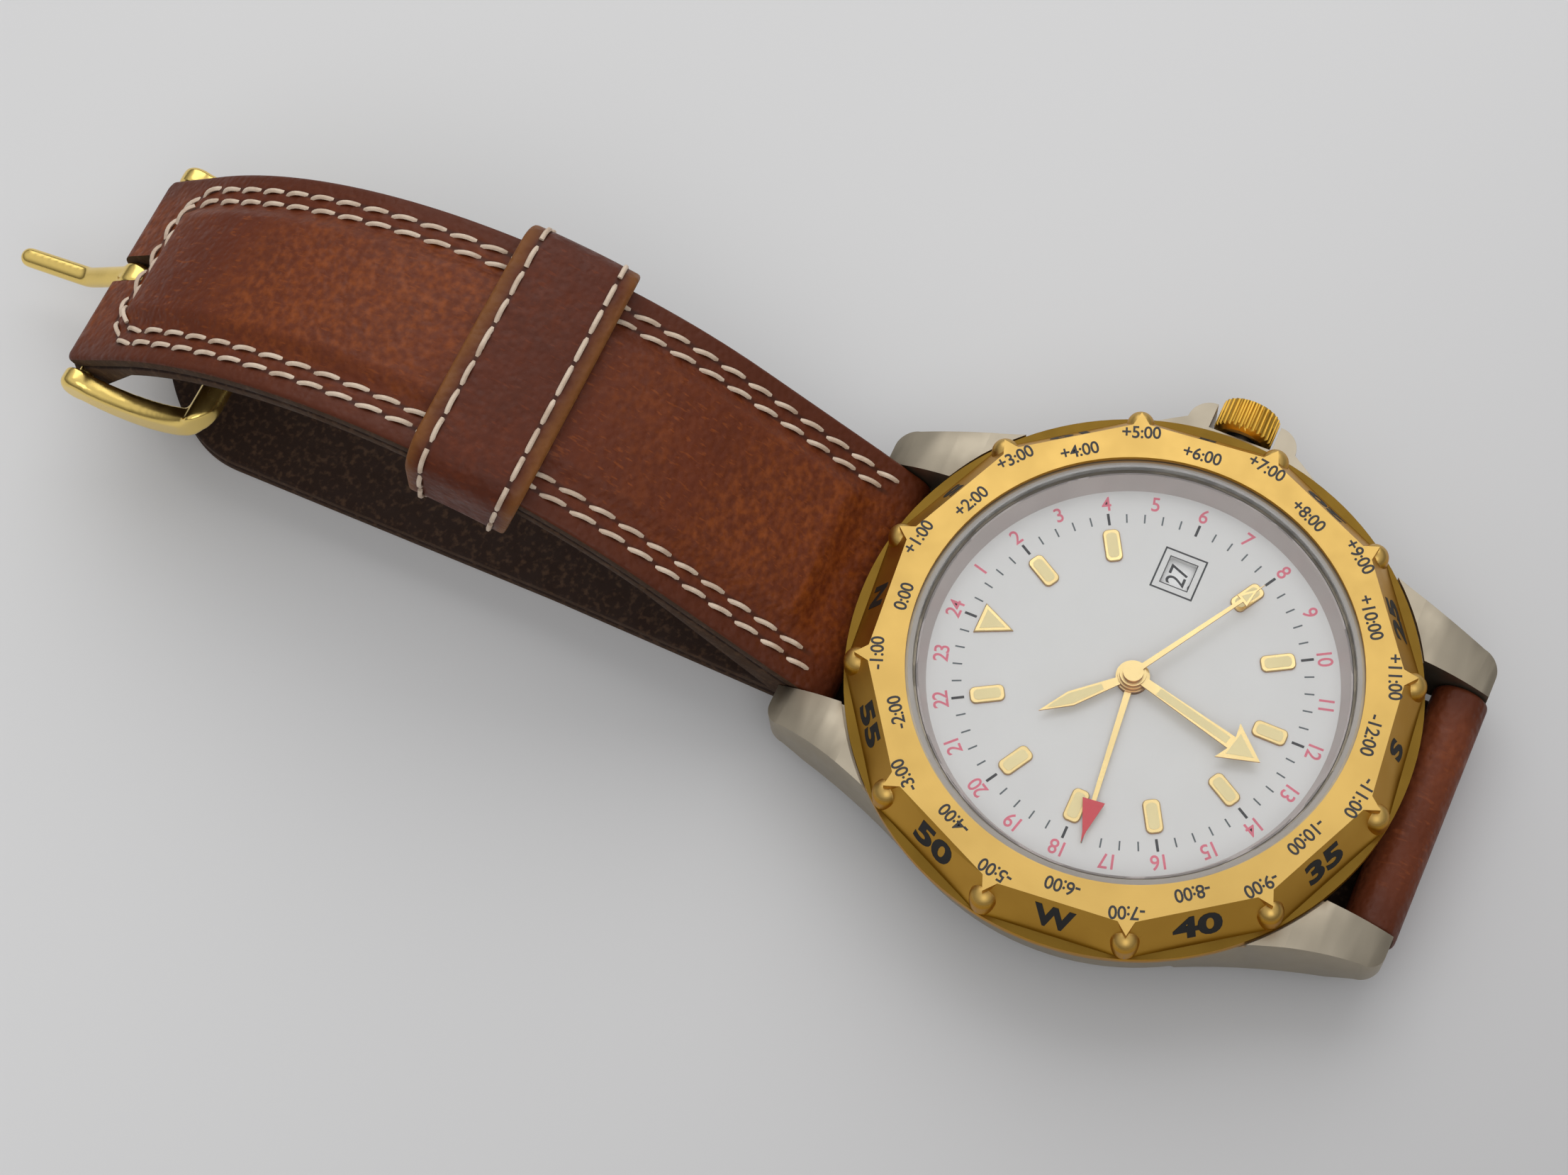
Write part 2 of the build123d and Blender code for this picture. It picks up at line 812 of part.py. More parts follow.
# Spring bars: a tube through the strap's loop and a sprung tip in each end
for bar_name, bar_axis in (("12", bar_12), ("6", bar_6)):
    with BuildPart() as spring_bar:
        extrude(side_circle(bar_axis, bar_tube_radius), amount=bar_tube_half, both=True)
        for side in (-1, 1):
            with BuildSketch(Plane.YZ.offset(side * bar_tube_half)):
                with Locations(bar_axis):
                    Circle(bar_tip_radius + running_fit)
            extrude(amount=-side * bar_bore_depth, mode=Mode.SUBTRACT)
    spring_bar.part.label = "spring_bar_" + bar_name
    export_step(spring_bar.part, "parts/spring_bar_" + bar_name + ".step")
    for side_name, side in (("left", -1), ("right", 1)):
        with BuildPart() as bar_tip:
            with BuildSketch(Plane.YZ.offset(side * (bar_tube_half - bar_tip_inside))):
                with Locations(bar_axis):
                    Circle(bar_tip_radius)
            extrude(amount=side * (bar_tip_inside + lug_gap / 2 - bar_tube_half + bar_tip_bite))
            chamfer(bar_tip.edges().group_by(Axis.X)[(side - 1) // 2], bar_tip_edge)
        bar_tip.part.label = "bar_tip_" + bar_name + "_" + side_name
        export_step(bar_tip.part, "parts/bar_tip_" + bar_name + "_" + side_name + ".step")

# Lugs: drawn in at the waist, arched down towards their tips
lug_foot = (sqrt(case_radius**2 - lug_root_reach**2), lug_root_reach)
lug_tip_side = lug_gap / 2 + lug_tip_width
with BuildPart() as lugs:
    with BuildSketch(Plane.XY.offset(case_bottom)):
        with BuildLine():
            Polyline((lug_gap / 2, lug_reach), (lug_gap / 2, 0), (lug_foot[0], 0), lug_foot)
            ThreePointArc(lug_foot, lug_waist, (lug_tip_side, lug_reach - lug_tip_round))
            ThreePointArc(
                (lug_tip_side, lug_reach - lug_tip_round),
                (
                    lug_tip_side - lug_tip_round + lug_tip_round * cos(radians(quarter_turn / 2)),
                    lug_reach - lug_tip_round + lug_tip_round * sin(radians(quarter_turn / 2)),
                ),
                (lug_tip_side - lug_tip_round, lug_reach),
            )
            Line((lug_tip_side - lug_tip_round, lug_reach), (lug_gap / 2, lug_reach))
        make_face()
        mirror(about=Plane.YZ)
        mirror(about=Plane.XZ)
    extrude(amount=lug_top - case_bottom)
    with BuildSketch(Plane.YZ):
        with BuildLine():
            Line((0, lug_top), (lug_flat_reach, lug_top))
            ThreePointArc(
                (lug_flat_reach, lug_top),
                (
                    lug_flat_reach + (lug_reach - lug_flat_reach) * lug_arch_share,
                    lug_top - lug_tip_top_under_dial * lug_arch_drop_share,
                ),
                (lug_reach, dial_face - lug_tip_top_under_dial),
            )
            Polyline(
                (lug_reach, dial_face - lug_tip_top_under_dial),
                (lug_reach, dial_face - lug_tip_bottom_under_dial),
                (lug_under_share * lug_reach, case_bottom),
                (0, case_bottom),
                (0, lug_top),
            )
        make_face()
        mirror(about=Plane.YZ)
    extrude(amount=case_radius, both=True, mode=Mode.INTERSECT)

# Crown guards, one on each side of the crown
guard_foot = (sqrt(case_radius**2 - guard_root_reach**2), guard_root_reach)
guard_inner = crown_radius + guard_gap
guard_outer = guard_inner + guard_tip_width
with BuildPart() as guards:
    with BuildSketch(Plane.XY.offset(case_shoulder)):
        with BuildLine():
            Polyline((0, 0), (0, guard_root_reach), guard_foot)
            ThreePointArc(guard_foot, guard_waist, (guard_reach - guard_tip_width, guard_outer))
            ThreePointArc(
                (guard_reach - guard_tip_width, guard_outer),
                (
                    guard_reach - guard_tip_width * (1 - cos(radians(quarter_turn / 2))),
                    guard_inner + guard_tip_width * sin(radians(quarter_turn / 2)),
                ),
                (guard_reach, guard_inner),
            )
            Polyline(
                (guard_reach, guard_inner),
                (crown_start - soft_fit, guard_inner),
                (crown_start - soft_fit, 0),
                (0, 0),
            )
        make_face()
        mirror(about=Plane.XZ)
    extrude(amount=-guard_thickness)

# Middle of the case: barrel, lugs, guards and the neck that carries the bezel and the crystal
groove_height = bezel_bottom + click_wire_rise
with BuildPart() as mid_case:
    extrude(round_outline(case_bottom, (0, 0), case_radius), amount=case_shoulder - case_bottom)
    chamfer(mid_case.edges().group_by(Axis.Z)[0], case_edge)
    add(lugs.part)
    add(guards.part)
    extrude(
        round_outline(case_shoulder, (0, 0), bezel_base_radius + soft_fit),
        amount=lug_top,
        mode=Mode.SUBTRACT,
    )
    extrude(round_outline(case_shoulder, (0, 0), neck_radius), amount=neck_top - case_shoulder)
    extrude(round_outline(0, (0, 0), case_bore), amount=neck_top + cut_overrun, mode=Mode.SUBTRACT)
    extrude(
        round_outline(crystal_seat, (0, 0), crystal_radius + crystal_gasket_wall),
        amount=neck_top,
        mode=Mode.SUBTRACT,
    )
    extrude(round_outline(0, (0, 0), back_rim_radius), amount=gasket_top, mode=Mode.SUBTRACT)
    for side in (-1, 1):
        for bar_axis in (bar_12, bar_6):
            with BuildSketch(Plane.YZ.offset(side * lug_gap / 2)):
                with Locations(bar_axis):
                    Circle(bar_tip_radius + running_fit)
            extrude(amount=side * bar_hole_depth, mode=Mode.SUBTRACT)
    with BuildSketch(Plane.YZ):
        with Locations((0, crown_axis)):
            Circle(tube_radius)
    extrude(amount=crown_end, mode=Mode.SUBTRACT)
    with BuildSketch(Plane.XZ):
        with Locations((wire_ring_radius, groove_height)):
            Circle(click_wire_room)
    revolve(axis=Axis.Z, mode=Mode.SUBTRACT)
mid_case.part.label = "mid_case"
export_step(mid_case.part, "parts/mid_case.step")

# Back: it snaps into the case and presses a flat gasket
with BuildPart() as case_back:
    extrude(round_outline(case_foot, (0, 0), back_radius), amount=case_bottom - case_foot)
    chamfer(case_back.edges().group_by(Axis.Z)[0], back_edge)
    extrude(round_outline(case_foot, (0, 0), back_rim_radius), amount=back_thickness)
    with BuildSketch(Plane.XY.offset(back_inside)):
        Circle(back_rim_radius - back_lip)
    extrude(amount=-back_thickness + back_stand, mode=Mode.SUBTRACT)
    with BuildSketch(Plane.XY.offset(case_bottom)):
        with Locations((0, -back_radius)):
            Rectangle(pry_width, 2 * pry_depth)
    extrude(amount=-back_stand / 2, mode=Mode.SUBTRACT)
case_back.part.label = "case_back"
export_step(case_back.part, "parts/case_back.step")

with BuildPart() as case_back_gasket:
    with BuildSketch(Plane.XY.offset(back_inside)):
        Circle(back_rim_radius)
        Circle(back_rim_radius - gasket_width, mode=Mode.SUBTRACT)
    extrude(amount=gasket_top - back_inside)
case_back_gasket.part.label = "case_back_gasket"
export_step(case_back_gasket.part, "parts/case_back_gasket.step")

with BuildPart() as bezel_click_wire:
    with BuildSketch(Plane.XZ):
        with Locations((wire_ring_radius, groove_height)):
            Circle(click_wire_radius)
    revolve(axis=Axis.Z, revolution_arc=full_turn - wire_opening_angle)
bezel_click_wire.part.label = "bezel_click_wire"
export_step(bezel_click_wire.part, "parts/bezel_click_wire.step")

# Bezel: a turned ring cut into twelve sloping panels, with a point and a stud at each corner
panel_foot = bezel_bottom + bezel_base_height
panel_angle = full_turn / bezel_sides
corner_bearing = bezel_turn + panel_angle / 2
corner_radius = panel_apothem / cos(radians(panel_angle / 2))
point_root = corner_radius - point_width / 2
stud_place = bezel_base_radius - stud_radius
with BuildPart() as bezel:
    with BuildSketch(Plane.XY.offset(panel_foot)):
        RegularPolygon(panel_foot_radius, bezel_sides, major_radius=False, rotation=corner_bearing)
    with BuildSketch(Plane.XY.offset(bezel_top)):
        RegularPolygon(panel_apothem, bezel_sides, major_radius=False, rotation=corner_bearing)
    loft()
    extrude(round_outline(bezel_bottom, (0, 0), bezel_base_radius), amount=bezel_base_height)
    with BuildSketch(Plane.XY.offset(bezel_top)):
        with PolarLocations(point_root, bezel_sides, start_angle=corner_bearing):
            Polygon(
                (0, -point_width / 2),
                (point_reach - point_root, 0),
                (0, point_width / 2),
                align=None,
            )
    extrude(amount=-point_height)
    with BuildSketch(Plane.XY.offset(bezel_bottom)):
        with PolarLocations(stud_place, bezel_sides, start_angle=corner_bearing):
            Circle(stud_radius)
    extrude(amount=stud_height)
    with Locations(Plane.XY.offset(bezel_bottom + stud_height)):
        with PolarLocations(stud_place, bezel_sides, start_angle=corner_bearing):
            Sphere(stud_radius)
    extrude(
        round_outline(bezel_bottom, (0, 0), bezel_bore),
        amount=bezel_top - bezel_lip - bezel_bottom,
        mode=Mode.SUBTRACT,
    )
    extrude(
        round_outline(bezel_bottom, (0, 0), bezel_lip_radius),
        amount=bezel_top - bezel_bottom,
        mode=Mode.SUBTRACT,
    )
    with BuildSketch(Plane.XZ):
        with Locations((wire_ring_radius, groove_height)):
            Circle(click_wire_room)
    revolve(axis=Axis.Z, mode=Mode.SUBTRACT)
bezel.part.label = "bezel"
export_step(bezel.part, "parts/bezel.step")

# Crystal and its gasket
with BuildPart() as crystal:
    extrude(round_outline(crystal_seat, (0, 0), crystal_radius), amount=crystal_thickness)
    chamfer(crystal.edges().group_by(Axis.Z)[-1], crystal_bevel)
crystal.part.label = "crystal"
export_step(crystal.part, "parts/crystal.step")

with BuildPart() as crystal_gasket:
    with BuildSketch(Plane.XY.offset(crystal_seat)):
        Circle(crystal_radius + crystal_gasket_wall)
        Circle(crystal_radius, mode=Mode.SUBTRACT)
    extrude(amount=neck_top - crystal_seat)
crystal_gasket.part.label = "crystal_gasket"
export_step(crystal_gasket.part, "parts/crystal_gasket.step")

# Sloping flange between the dial and the crystal
with BuildPart() as flange_ring:
    with BuildSketch(Plane.XZ):
        with BuildLine():
            Polyline(
                (flange_foot_radius, dial_face),
                (case_bore - running_fit, dial_face),
                (case_bore - running_fit, crystal_seat),
                (flange_head_radius, crystal_seat),
                close=True,
            )
        make_face()
    revolve(axis=Axis.Z)
flange_ring.part.label = "flange_ring"
export_step(flange_ring.part, "parts/flange_ring.step")

# Dial with its centre hole, date window and two feet
foot_places = [polar(foot_place, angle) for angle in foot_angles]
with BuildPart() as dial:
    with BuildSketch(Plane.XY.offset(dial_under)):
        Circle(dial_radius)
        Circle(dial_hole, mode=Mode.SUBTRACT)
        with Locations((window_place, 0)):
            Rectangle(window_width, window_height, mode=Mode.SUBTRACT)
    extrude(amount=dial_thickness)
    with BuildSketch(Plane.XY.offset(dial_under)):
        with Locations(*foot_places):
            Circle(foot_radius)
    extrude(amount=-foot_length)
dial.part.label = "dial"
export_step(dial.part, "parts/dial.step")

# Applied hour markers: ten bars and the triangle at 12; the date window takes the place at 3
bar_hours = [hour for hour in range(1, 12) if hour != 3]
with BuildPart() as hour_markers:
    for hour in bar_hours:
        with BuildSketch(clock_plane(dial_face, hour * hour_angle)):
            with Locations((0, marker_place)):
                RectangleRounded(marker_width, marker_length, marker_corner)
        extrude(amount=marker_height)
    with BuildSketch(Plane.XY.offset(dial_face)):
        with BuildLine():
            Polyline(
                (-triangle_half_width, triangle_base_place),
                (triangle_half_width, triangle_base_place),
                (0, triangle_tip_place),
                close=True,
            )
        make_face()
    extrude(amount=marker_height)
    chamfer(hour_markers.edges().group_by(Axis.Z)[-1], marker_edge)
hour_markers.part.label = "hour_markers"
export_step(hour_markers.part, "parts/hour_markers.step")

# Crown with its knurled edge, domed end and the recess that goes over the tube
crown_plane = Plane.YZ.offset(crown_start)
with BuildPart() as crown:
    with BuildSketch(crown_plane):
        with Locations((0, crown_axis)):
            Circle(crown_radius)
            with PolarLocations(crown_radius, crown_groove_count):
                Circle(crown_groove_radius, mode=Mode.SUBTRACT)
    extrude(amount=crown_length)
    with BuildSketch(Plane.XZ):
        with BuildLine():
            Polyline(
                (crown_end - crown_dome, crown_axis + crown_radius),
                (crown_start + crown_dome, crown_axis + crown_radius),
                (crown_start, crown_axis + crown_radius - crown_dome),
                (crown_start, crown_axis),
                (crown_end, crown_axis),
            )
            ThreePointArc(
                (crown_end, crown_axis),
                (
                    crown_end - crown_dome * crown_dome_share,
                    crown_axis + crown_radius / 2,
                ),
                (crown_end - crown_dome, crown_axis + crown_radius),
            )
        make_face()
    revolve(axis=Axis((0, 0, crown_axis), (1, 0, 0)), mode=Mode.INTERSECT)
    with BuildSketch(crown_plane):
        with Locations((0, crown_axis)):
            Circle(crown_recess_radius)
    extrude(amount=crown_recess_depth, mode=Mode.SUBTRACT)
    with BuildSketch(crown_plane):
        with Locations((0, crown_axis)):
            Circle(stem_radius)
    extrude(amount=stem_end - crown_start, mode=Mode.SUBTRACT)
crown.part.label = "crown"
export_step(crown.part, "parts/crown.step")

with BuildPart() as crown_gasket:
    with BuildSketch(crown_plane.offset(crown_gasket_inset)):
        with Locations((0, crown_axis)):
            Circle(crown_recess_radius)
            Circle(tube_radius + running_fit, mode=Mode.SUBTRACT)
    extrude(amount=crown_gasket_length)
crown_gasket.part.label = "crown_gasket"
export_step(crown_gasket.part, "parts/crown_gasket.step")

with BuildPart() as crown_tube:
    with BuildSketch(Plane.YZ.offset(case_bore)):
        with Locations((0, crown_axis)):
            Circle(tube_radius)
            Circle(tube_bore, mode=Mode.SUBTRACT)
    extrude(amount=tube_reach - case_bore)
crown_tube.part.label = "crown_tube"
export_step(crown_tube.part, "parts/crown_tube.step")

# Winding stem with the neck that the setting lever holds
with BuildPart() as stem:
    with BuildSketch(Plane.XZ):
        with BuildLine():
            Polyline(
                (stem_inner_end, crown_axis),
                (stem_inner_end, crown_axis + stem_radius),
                (stem_neck_start, crown_axis + stem_radius),
                (stem_neck_start, crown_axis + stem_neck_radius),
                (stem_neck_start + stem_neck_length, crown_axis + stem_neck_radius),
                (stem_neck_start + stem_neck_length, crown_axis + stem_radius),
                (stem_end, crown_axis + stem_radius),
                (stem_end, crown_axis),
                close=True,
            )
        make_face()
    revolve(axis=Axis((0, 0, crown_axis), (1, 0, 0)))
stem.part.label = "stem"
export_step(stem.part, "parts/stem.step")

with BuildPart() as sliding_pinion:
    with BuildSketch(Plane.YZ.offset(pinion_start)):
        with Locations((0, crown_axis)):
            Circle(pinion_radius)
            with PolarLocations(pinion_radius, pinion_teeth):
                Rectangle(2 * tooth_depth, tooth_depth, mode=Mode.SUBTRACT)
            Circle(stem_radius, mode=Mode.SUBTRACT)
    extrude(amount=pinion_length)
sliding_pinion.part.label = "sliding_pinion"
export_step(sliding_pinion.part, "parts/sliding_pinion.step")

# Setting lever: a fork that stands in the neck of the stem and travels with it
lever_start = stem_neck_start + (stem_neck_length - lever_thickness) / 2
lever_top = plate_top - running_fit
with BuildPart() as setting_lever:
    with BuildSketch(Plane.YZ.offset(lever_start)):
        with Locations((lever_length / 2 - lever_tail, (lever_top + crown_axis - stem_neck_radius) / 2)):
            Rectangle(lever_length, lever_top - crown_axis + stem_neck_radius)
        with Locations((0, crown_axis)):
            Circle(stem_neck_radius + running_fit, mode=Mode.SUBTRACT)
        with Locations((0, crown_axis - stem_neck_radius)):
            Rectangle(
                2 * (stem_neck_radius + running_fit), 2 * stem_neck_radius, mode=Mode.SUBTRACT
            )
    extrude(amount=lever_thickness)
setting_lever.part.label = "setting_lever"
export_step(setting_lever.part, "parts/setting_lever.step")

# Ring that holds the movement in the case, with a ledge under the main plate
ring_bore = plate_radius + running_fit
ledge_bore = plate_radius - holder_ledge
with BuildPart() as movement_ring:
    with BuildSketch(Plane.XY.offset(back_inside + running_fit)):
        Circle(case_bore - running_fit)
        Circle(ledge_bore, mode=Mode.SUBTRACT)
    extrude(amount=dial_under - back_inside - running_fit)
    extrude(round_outline(plate_bottom, (0, 0), ring_bore), amount=plate_top, mode=Mode.SUBTRACT)
    with BuildSketch(Plane.YZ):
        with Locations((0, crown_axis)):
            Circle(stem_radius + stem_room)
    extrude(amount=case_bore, mode=Mode.SUBTRACT)
movement_ring.part.label = "movement_ring"
export_step(movement_ring.part, "parts/movement_ring.step")

# Pitch radii of the wheels, from the distances of their centres and their teeth
third_pitch = third_distance * third_teeth / (third_teeth + fourth_leaves)
fourth_pinion_pitch = third_distance - third_pitch
centre_pitch = third_distance * centre_teeth / (centre_teeth + third_leaves)
third_pinion_pitch = third_distance - centre_pitch
fourth_pitch = fifth_distance * fourth_teeth / (fourth_teeth + fifth_leaves)
fifth_pinion_pitch = fifth_distance - fourth_pitch
fifth_pitch = rotor_distance * fifth_teeth / (fifth_teeth + rotor_leaves)
rotor_pinion_pitch = rotor_distance - fifth_pitch
cannon_pitch = minute_wheel_distance * cannon_leaves / (cannon_leaves + minute_wheel_teeth)
minute_wheel_pitch = minute_wheel_distance - cannon_pitch
hour_wheel_pitch = minute_wheel_distance * hour_wheel_teeth / (hour_wheel_teeth + minute_wheel_leaves)
minute_leaf_pitch = minute_wheel_distance - hour_wheel_pitch
hour_upper_pitch = (
    day_wheel_distance * hour_wheel_upper_teeth / (hour_wheel_upper_teeth + day_wheel_lower_teeth)
)
day_lower_pitch = day_wheel_distance - hour_upper_pitch
gmt_pitch = day_wheel_distance * gmt_wheel_teeth / (gmt_wheel_teeth + day_wheel_upper_teeth)
day_upper_pitch = day_wheel_distance - gmt_pitch

# Places of the wheels in the plan
third_place = polar(third_distance, third_bearing)
fifth_place = polar(fifth_distance, fifth_bearing)
rotor_offset = polar(rotor_distance, rotor_bearing)
rotor_place = (fifth_place[0] + rotor_offset[0], fifth_place[1] + rotor_offset[1])
minute_wheel_place = polar(minute_wheel_distance, minute_wheel_bearing)
day_wheel_place = polar(day_wheel_distance, day_wheel_bearing)
train_places = [(0, 0), third_place, fifth_place, rotor_place]

# Levels of the train above the bridge, and of the wheels on the dial side
fourth_z = bridge_top + fourth_level
third_z = bridge_top + third_level
fifth_z = bridge_top + fifth_level
fifth_pinion_z = bridge_top + fifth_pinion_level
centre_z = bridge_top + centre_level
rotor_z = bridge_top + rotor_level
side_levels = [plate_top + dial_side_first + index * dial_side_level for index in range(4)]
pivot_bottom = bridge_top - pivot_bite
pivot_top = plate_bottom + pivot_bite
date_ring_z = dial_under - date_ring_drop - date_ring_thickness
stator_z = bridge_top + stator_level
stator_top = stator_z + stator_thickness
stator_middle = (stator_left + stator_right) / 2
stator_post_y = stator_half_length - stator_arm_width / 2
board_z = bridge_top - board_thickness
board_post_inset = can_post_share * can_length
board_posts = [
    (board_left + board_post_inset, board_post_y),
    (board_right - board_post_inset, board_post_y),
]
clamp_z = plate_bottom - battery_height - clamp_thickness


def bore_place(height, place, radius, depth):
    """Round tool for a hole from a height upwards."""
    return extrude(round_outline(height, place, radius), amount=depth, mode=Mode.SUBTRACT)


# Main plate: it carries the train below, the calendar above and the dial on its rim
with BuildPart() as main_plate:
    extrude(round_outline(plate_bottom, (0, 0), plate_radius), amount=dial_under - plate_bottom)
    extrude(
        round_outline(plate_top, (0, 0), plate_rim_bore), amount=plate_thickness, mode=Mode.SUBTRACT
    )
    with BuildSketch(Plane.XY.offset(plate_top)):
        Circle(plate_rim_bore)
        Circle(plate_rim_bore - date_seat_width, mode=Mode.SUBTRACT)
    extrude(amount=date_ring_z - running_fit - plate_top)
    for place in (minute_wheel_place, day_wheel_place, jumper_post):
        extrude(round_outline(plate_top, place, post_radius), amount=date_ring_z - plate_top)
    for side in (-1, 1):
        extrude(
            round_outline(stator_top, (stator_middle, side * stator_post_y), post_radius),
            amount=plate_bottom - stator_top,
        )
    for place in board_posts:
        extrude(round_outline(bridge_top, place, post_radius), amount=plate_bottom - bridge_top)
    for place in pillar_places:
        extrude(round_outline(bridge_top, place, pillar_radius), amount=plate_bottom - bridge_top)
    for place in train_places[1:]:
        bore_place(plate_bottom, place, arbor_radius + running_fit, pivot_bite + running_fit)
    bore_place(plate_bottom, (0, 0), centre_tube_radius + running_fit, plate_thickness)
    for place in foot_places:
        bore_place(dial_under - foot_length - running_fit, place, foot_radius + running_fit, dial_under)
    with BuildSketch(Plane.YZ.offset(stem_inner_end - stem_room)):
        with Locations((0, crown_axis)):
            Circle(stem_radius + stem_room)
    extrude(amount=plate_radius, mode=Mode.SUBTRACT)
    with BuildSketch(Plane.YZ.offset(pinion_start - stem_room)):
        with Locations((0, (date_ring_z - running_fit + crown_axis - pinion_radius) / 2)):
            Rectangle(
                2 * (pinion_radius + stem_room),
                date_ring_z - running_fit - crown_axis + pinion_radius + 2 * stem_room,
            )
    extrude(amount=pinion_length + crown_pull + 2 * stem_room, mode=Mode.SUBTRACT)
    with BuildSketch(Plane.YZ.offset(lever_start - stem_room)):
        with Locations((lever_length / 2 - lever_tail, (plate_top + crown_axis - stem_radius) / 2)):
            Rectangle(lever_length + 2 * stem_room, plate_top - crown_axis + stem_radius + stem_room)
    extrude(amount=plate_radius, mode=Mode.SUBTRACT)
main_plate.part.label = "main_plate"
export_step(main_plate.part, "parts/main_plate.step")

# Train bridge with its pivot holes
with BuildPart() as train_bridge:
    extrude(round_outline(bridge_bottom, bridge_place, bridge_radius), amount=bridge_thickness)
    chamfer(train_bridge.edges().group_by(Axis.Z)[0], bridge_edge)
    for place in train_places:
        bore_place(
            pivot_bottom - running_fit, place, arbor_radius + running_fit, pivot_bite + running_fit
        )
train_bridge.part.label = "train_bridge"
export_step(train_bridge.part, "parts/train_bridge.step")

# Screw heads: three under the bridge and two under the coil
coil_z = stator_z - stator_thickness
coil_screw_places = [(coil_place, side * stator_post_y) for side in (-1, 1)]
with BuildPart() as movement_screws:
    for height, places in ((bridge_bottom, pillar_places), (coil_z, coil_screw_places)):
        with BuildSketch(Plane.XY.offset(height)):
            with Locations(*places):
                Circle(screw_head_radius)
        extrude(amount=-screw_head_height)
        with BuildSketch(Plane.XY.offset(height - screw_head_height)):
            with Locations(*places):
                Rectangle(2 * screw_head_radius, screw_slot)
        extrude(amount=screw_slot, mode=Mode.SUBTRACT)
movement_screws.part.label = "movement_screws"
export_step(movement_screws.part, "parts/movement_screws.step")

# Train, from the seconds arbor outwards
with BuildPart() as fourth_wheel:
    extrude(
        toothed_disc(fourth_z, (0, 0), fourth_pitch - mesh_gap / 2, fourth_teeth),
        amount=wheel_thickness,
    )
    extrude(
        toothed_disc(fourth_z, (0, 0), fourth_pinion_pitch - mesh_gap / 2, fourth_leaves),
        amount=third_z + wheel_thickness - fourth_z,
    )
    extrude(
        round_outline(pivot_bottom, (0, 0), arbor_radius),
        amount=dial_face + second_hand_lift + hand_thickness - pivot_bottom,
    )
fourth_wheel.part.label = "fourth_wheel"
export_step(fourth_wheel.part, "parts/fourth_wheel.step")

with BuildPart() as third_wheel:
    extrude(
        toothed_disc(third_z, third_place, third_pitch - mesh_gap / 2, third_teeth),
        amount=wheel_thickness,
    )
    extrude(
        toothed_disc(third_z, third_place, third_pinion_pitch - mesh_gap / 2, third_leaves),
        amount=centre_z + wheel_thickness - third_z,
    )
    extrude(
        round_outline(pivot_bottom, third_place, arbor_radius), amount=pivot_top - pivot_bottom
    )
third_wheel.part.label = "third_wheel"
export_step(third_wheel.part, "parts/third_wheel.step")

with BuildPart() as centre_wheel:
    extrude(
        toothed_disc(centre_z, (0, 0), centre_pitch - mesh_gap / 2, centre_teeth),
        amount=wheel_thickness,
    )
    extrude(
        round_outline(centre_z, (0, 0), centre_tube_radius),
        amount=dial_face + minute_hand_lift - centre_z,
    )
    bore_place(centre_z, (0, 0), centre_tube_bore, dial_face)
centre_wheel.part.label = "centre_wheel"
export_step(centre_wheel.part, "parts/centre_wheel.step")

with BuildPart() as fifth_wheel:
    extrude(
        toothed_disc(fifth_z, fifth_place, fifth_pitch - mesh_gap / 2, fifth_teeth),
        amount=wheel_thickness,
    )
    extrude(
        toothed_disc(fifth_pinion_z, fifth_place, fifth_pinion_pitch - mesh_gap / 2, fifth_leaves),
        amount=fifth_z - fifth_pinion_z,
    )
    extrude(
        round_outline(pivot_bottom, fifth_place, arbor_radius), amount=pivot_top - pivot_bottom
    )
fifth_wheel.part.label = "fifth_wheel"
export_step(fifth_wheel.part, "parts/fifth_wheel.step")

with BuildPart() as rotor:
    extrude(round_outline(rotor_z, rotor_place, rotor_radius), amount=rotor_height)
    extrude(
        toothed_disc(rotor_z, rotor_place, rotor_pinion_pitch - mesh_gap / 2, rotor_leaves),
        amount=fifth_z + wheel_thickness - rotor_z,
    )
    extrude(
        round_outline(pivot_bottom, rotor_place, arbor_radius), amount=pivot_top - pivot_bottom
    )
rotor.part.label = "rotor"
export_step(rotor.part, "parts/rotor.step")

# Stator plate round the rotor, with an arm at each end out to the coil's core
with BuildPart() as stator:
    with BuildSketch(Plane.XY.offset(stator_z)):
        with Locations((stator_middle, 0)):
            Rectangle(stator_right - stator_left, 2 * stator_half_length)
        for side in (-1, 1):
            with Locations(((stator_left + coil_place + coil_core_width / 2) / 2, side * stator_post_y)):
                Rectangle(coil_place + coil_core_width / 2 - stator_left, stator_arm_width)
        with Locations(rotor_place):
            Circle(rotor_room, mode=Mode.SUBTRACT)
    extrude(amount=stator_thickness)
stator.part.label = "stator"
export_step(stator.part, "parts/stator.step")

# Coil: a flat core under the stator's arms, and the winding round its middle
with BuildPart() as coil:
    with BuildSketch(Plane.XY.offset(coil_z)):
        with Locations((coil_place, 0)):
            Rectangle(coil_core_width, 2 * stator_half_length)
    extrude(amount=stator_thickness)
    with BuildSketch(Plane.XZ):
        with Locations((coil_place, coil_z + stator_thickness / 2)):
            Rectangle(coil_core_width + 2 * coil_winding, stator_thickness + 2 * coil_winding)
    extrude(amount=coil_half_length, both=True)
    chamfer(
        coil.edges().filter_by(Axis.Y).filter_by(lambda edge: edge.length > coil_half_length),
        coil_winding / 2,
    )
coil.part.label = "coil"
export_step(coil.part, "parts/coil.step")

# Battery, its clamp, the circuit board and the quartz can
with BuildPart() as battery:
    extrude(round_outline(plate_bottom, battery_place, battery_radius), amount=-battery_height)
    fillet(battery.edges().group_by(Axis.Z)[0], battery_edge)
battery.part.label = "battery"
export_step(battery.part, "parts/battery.step")

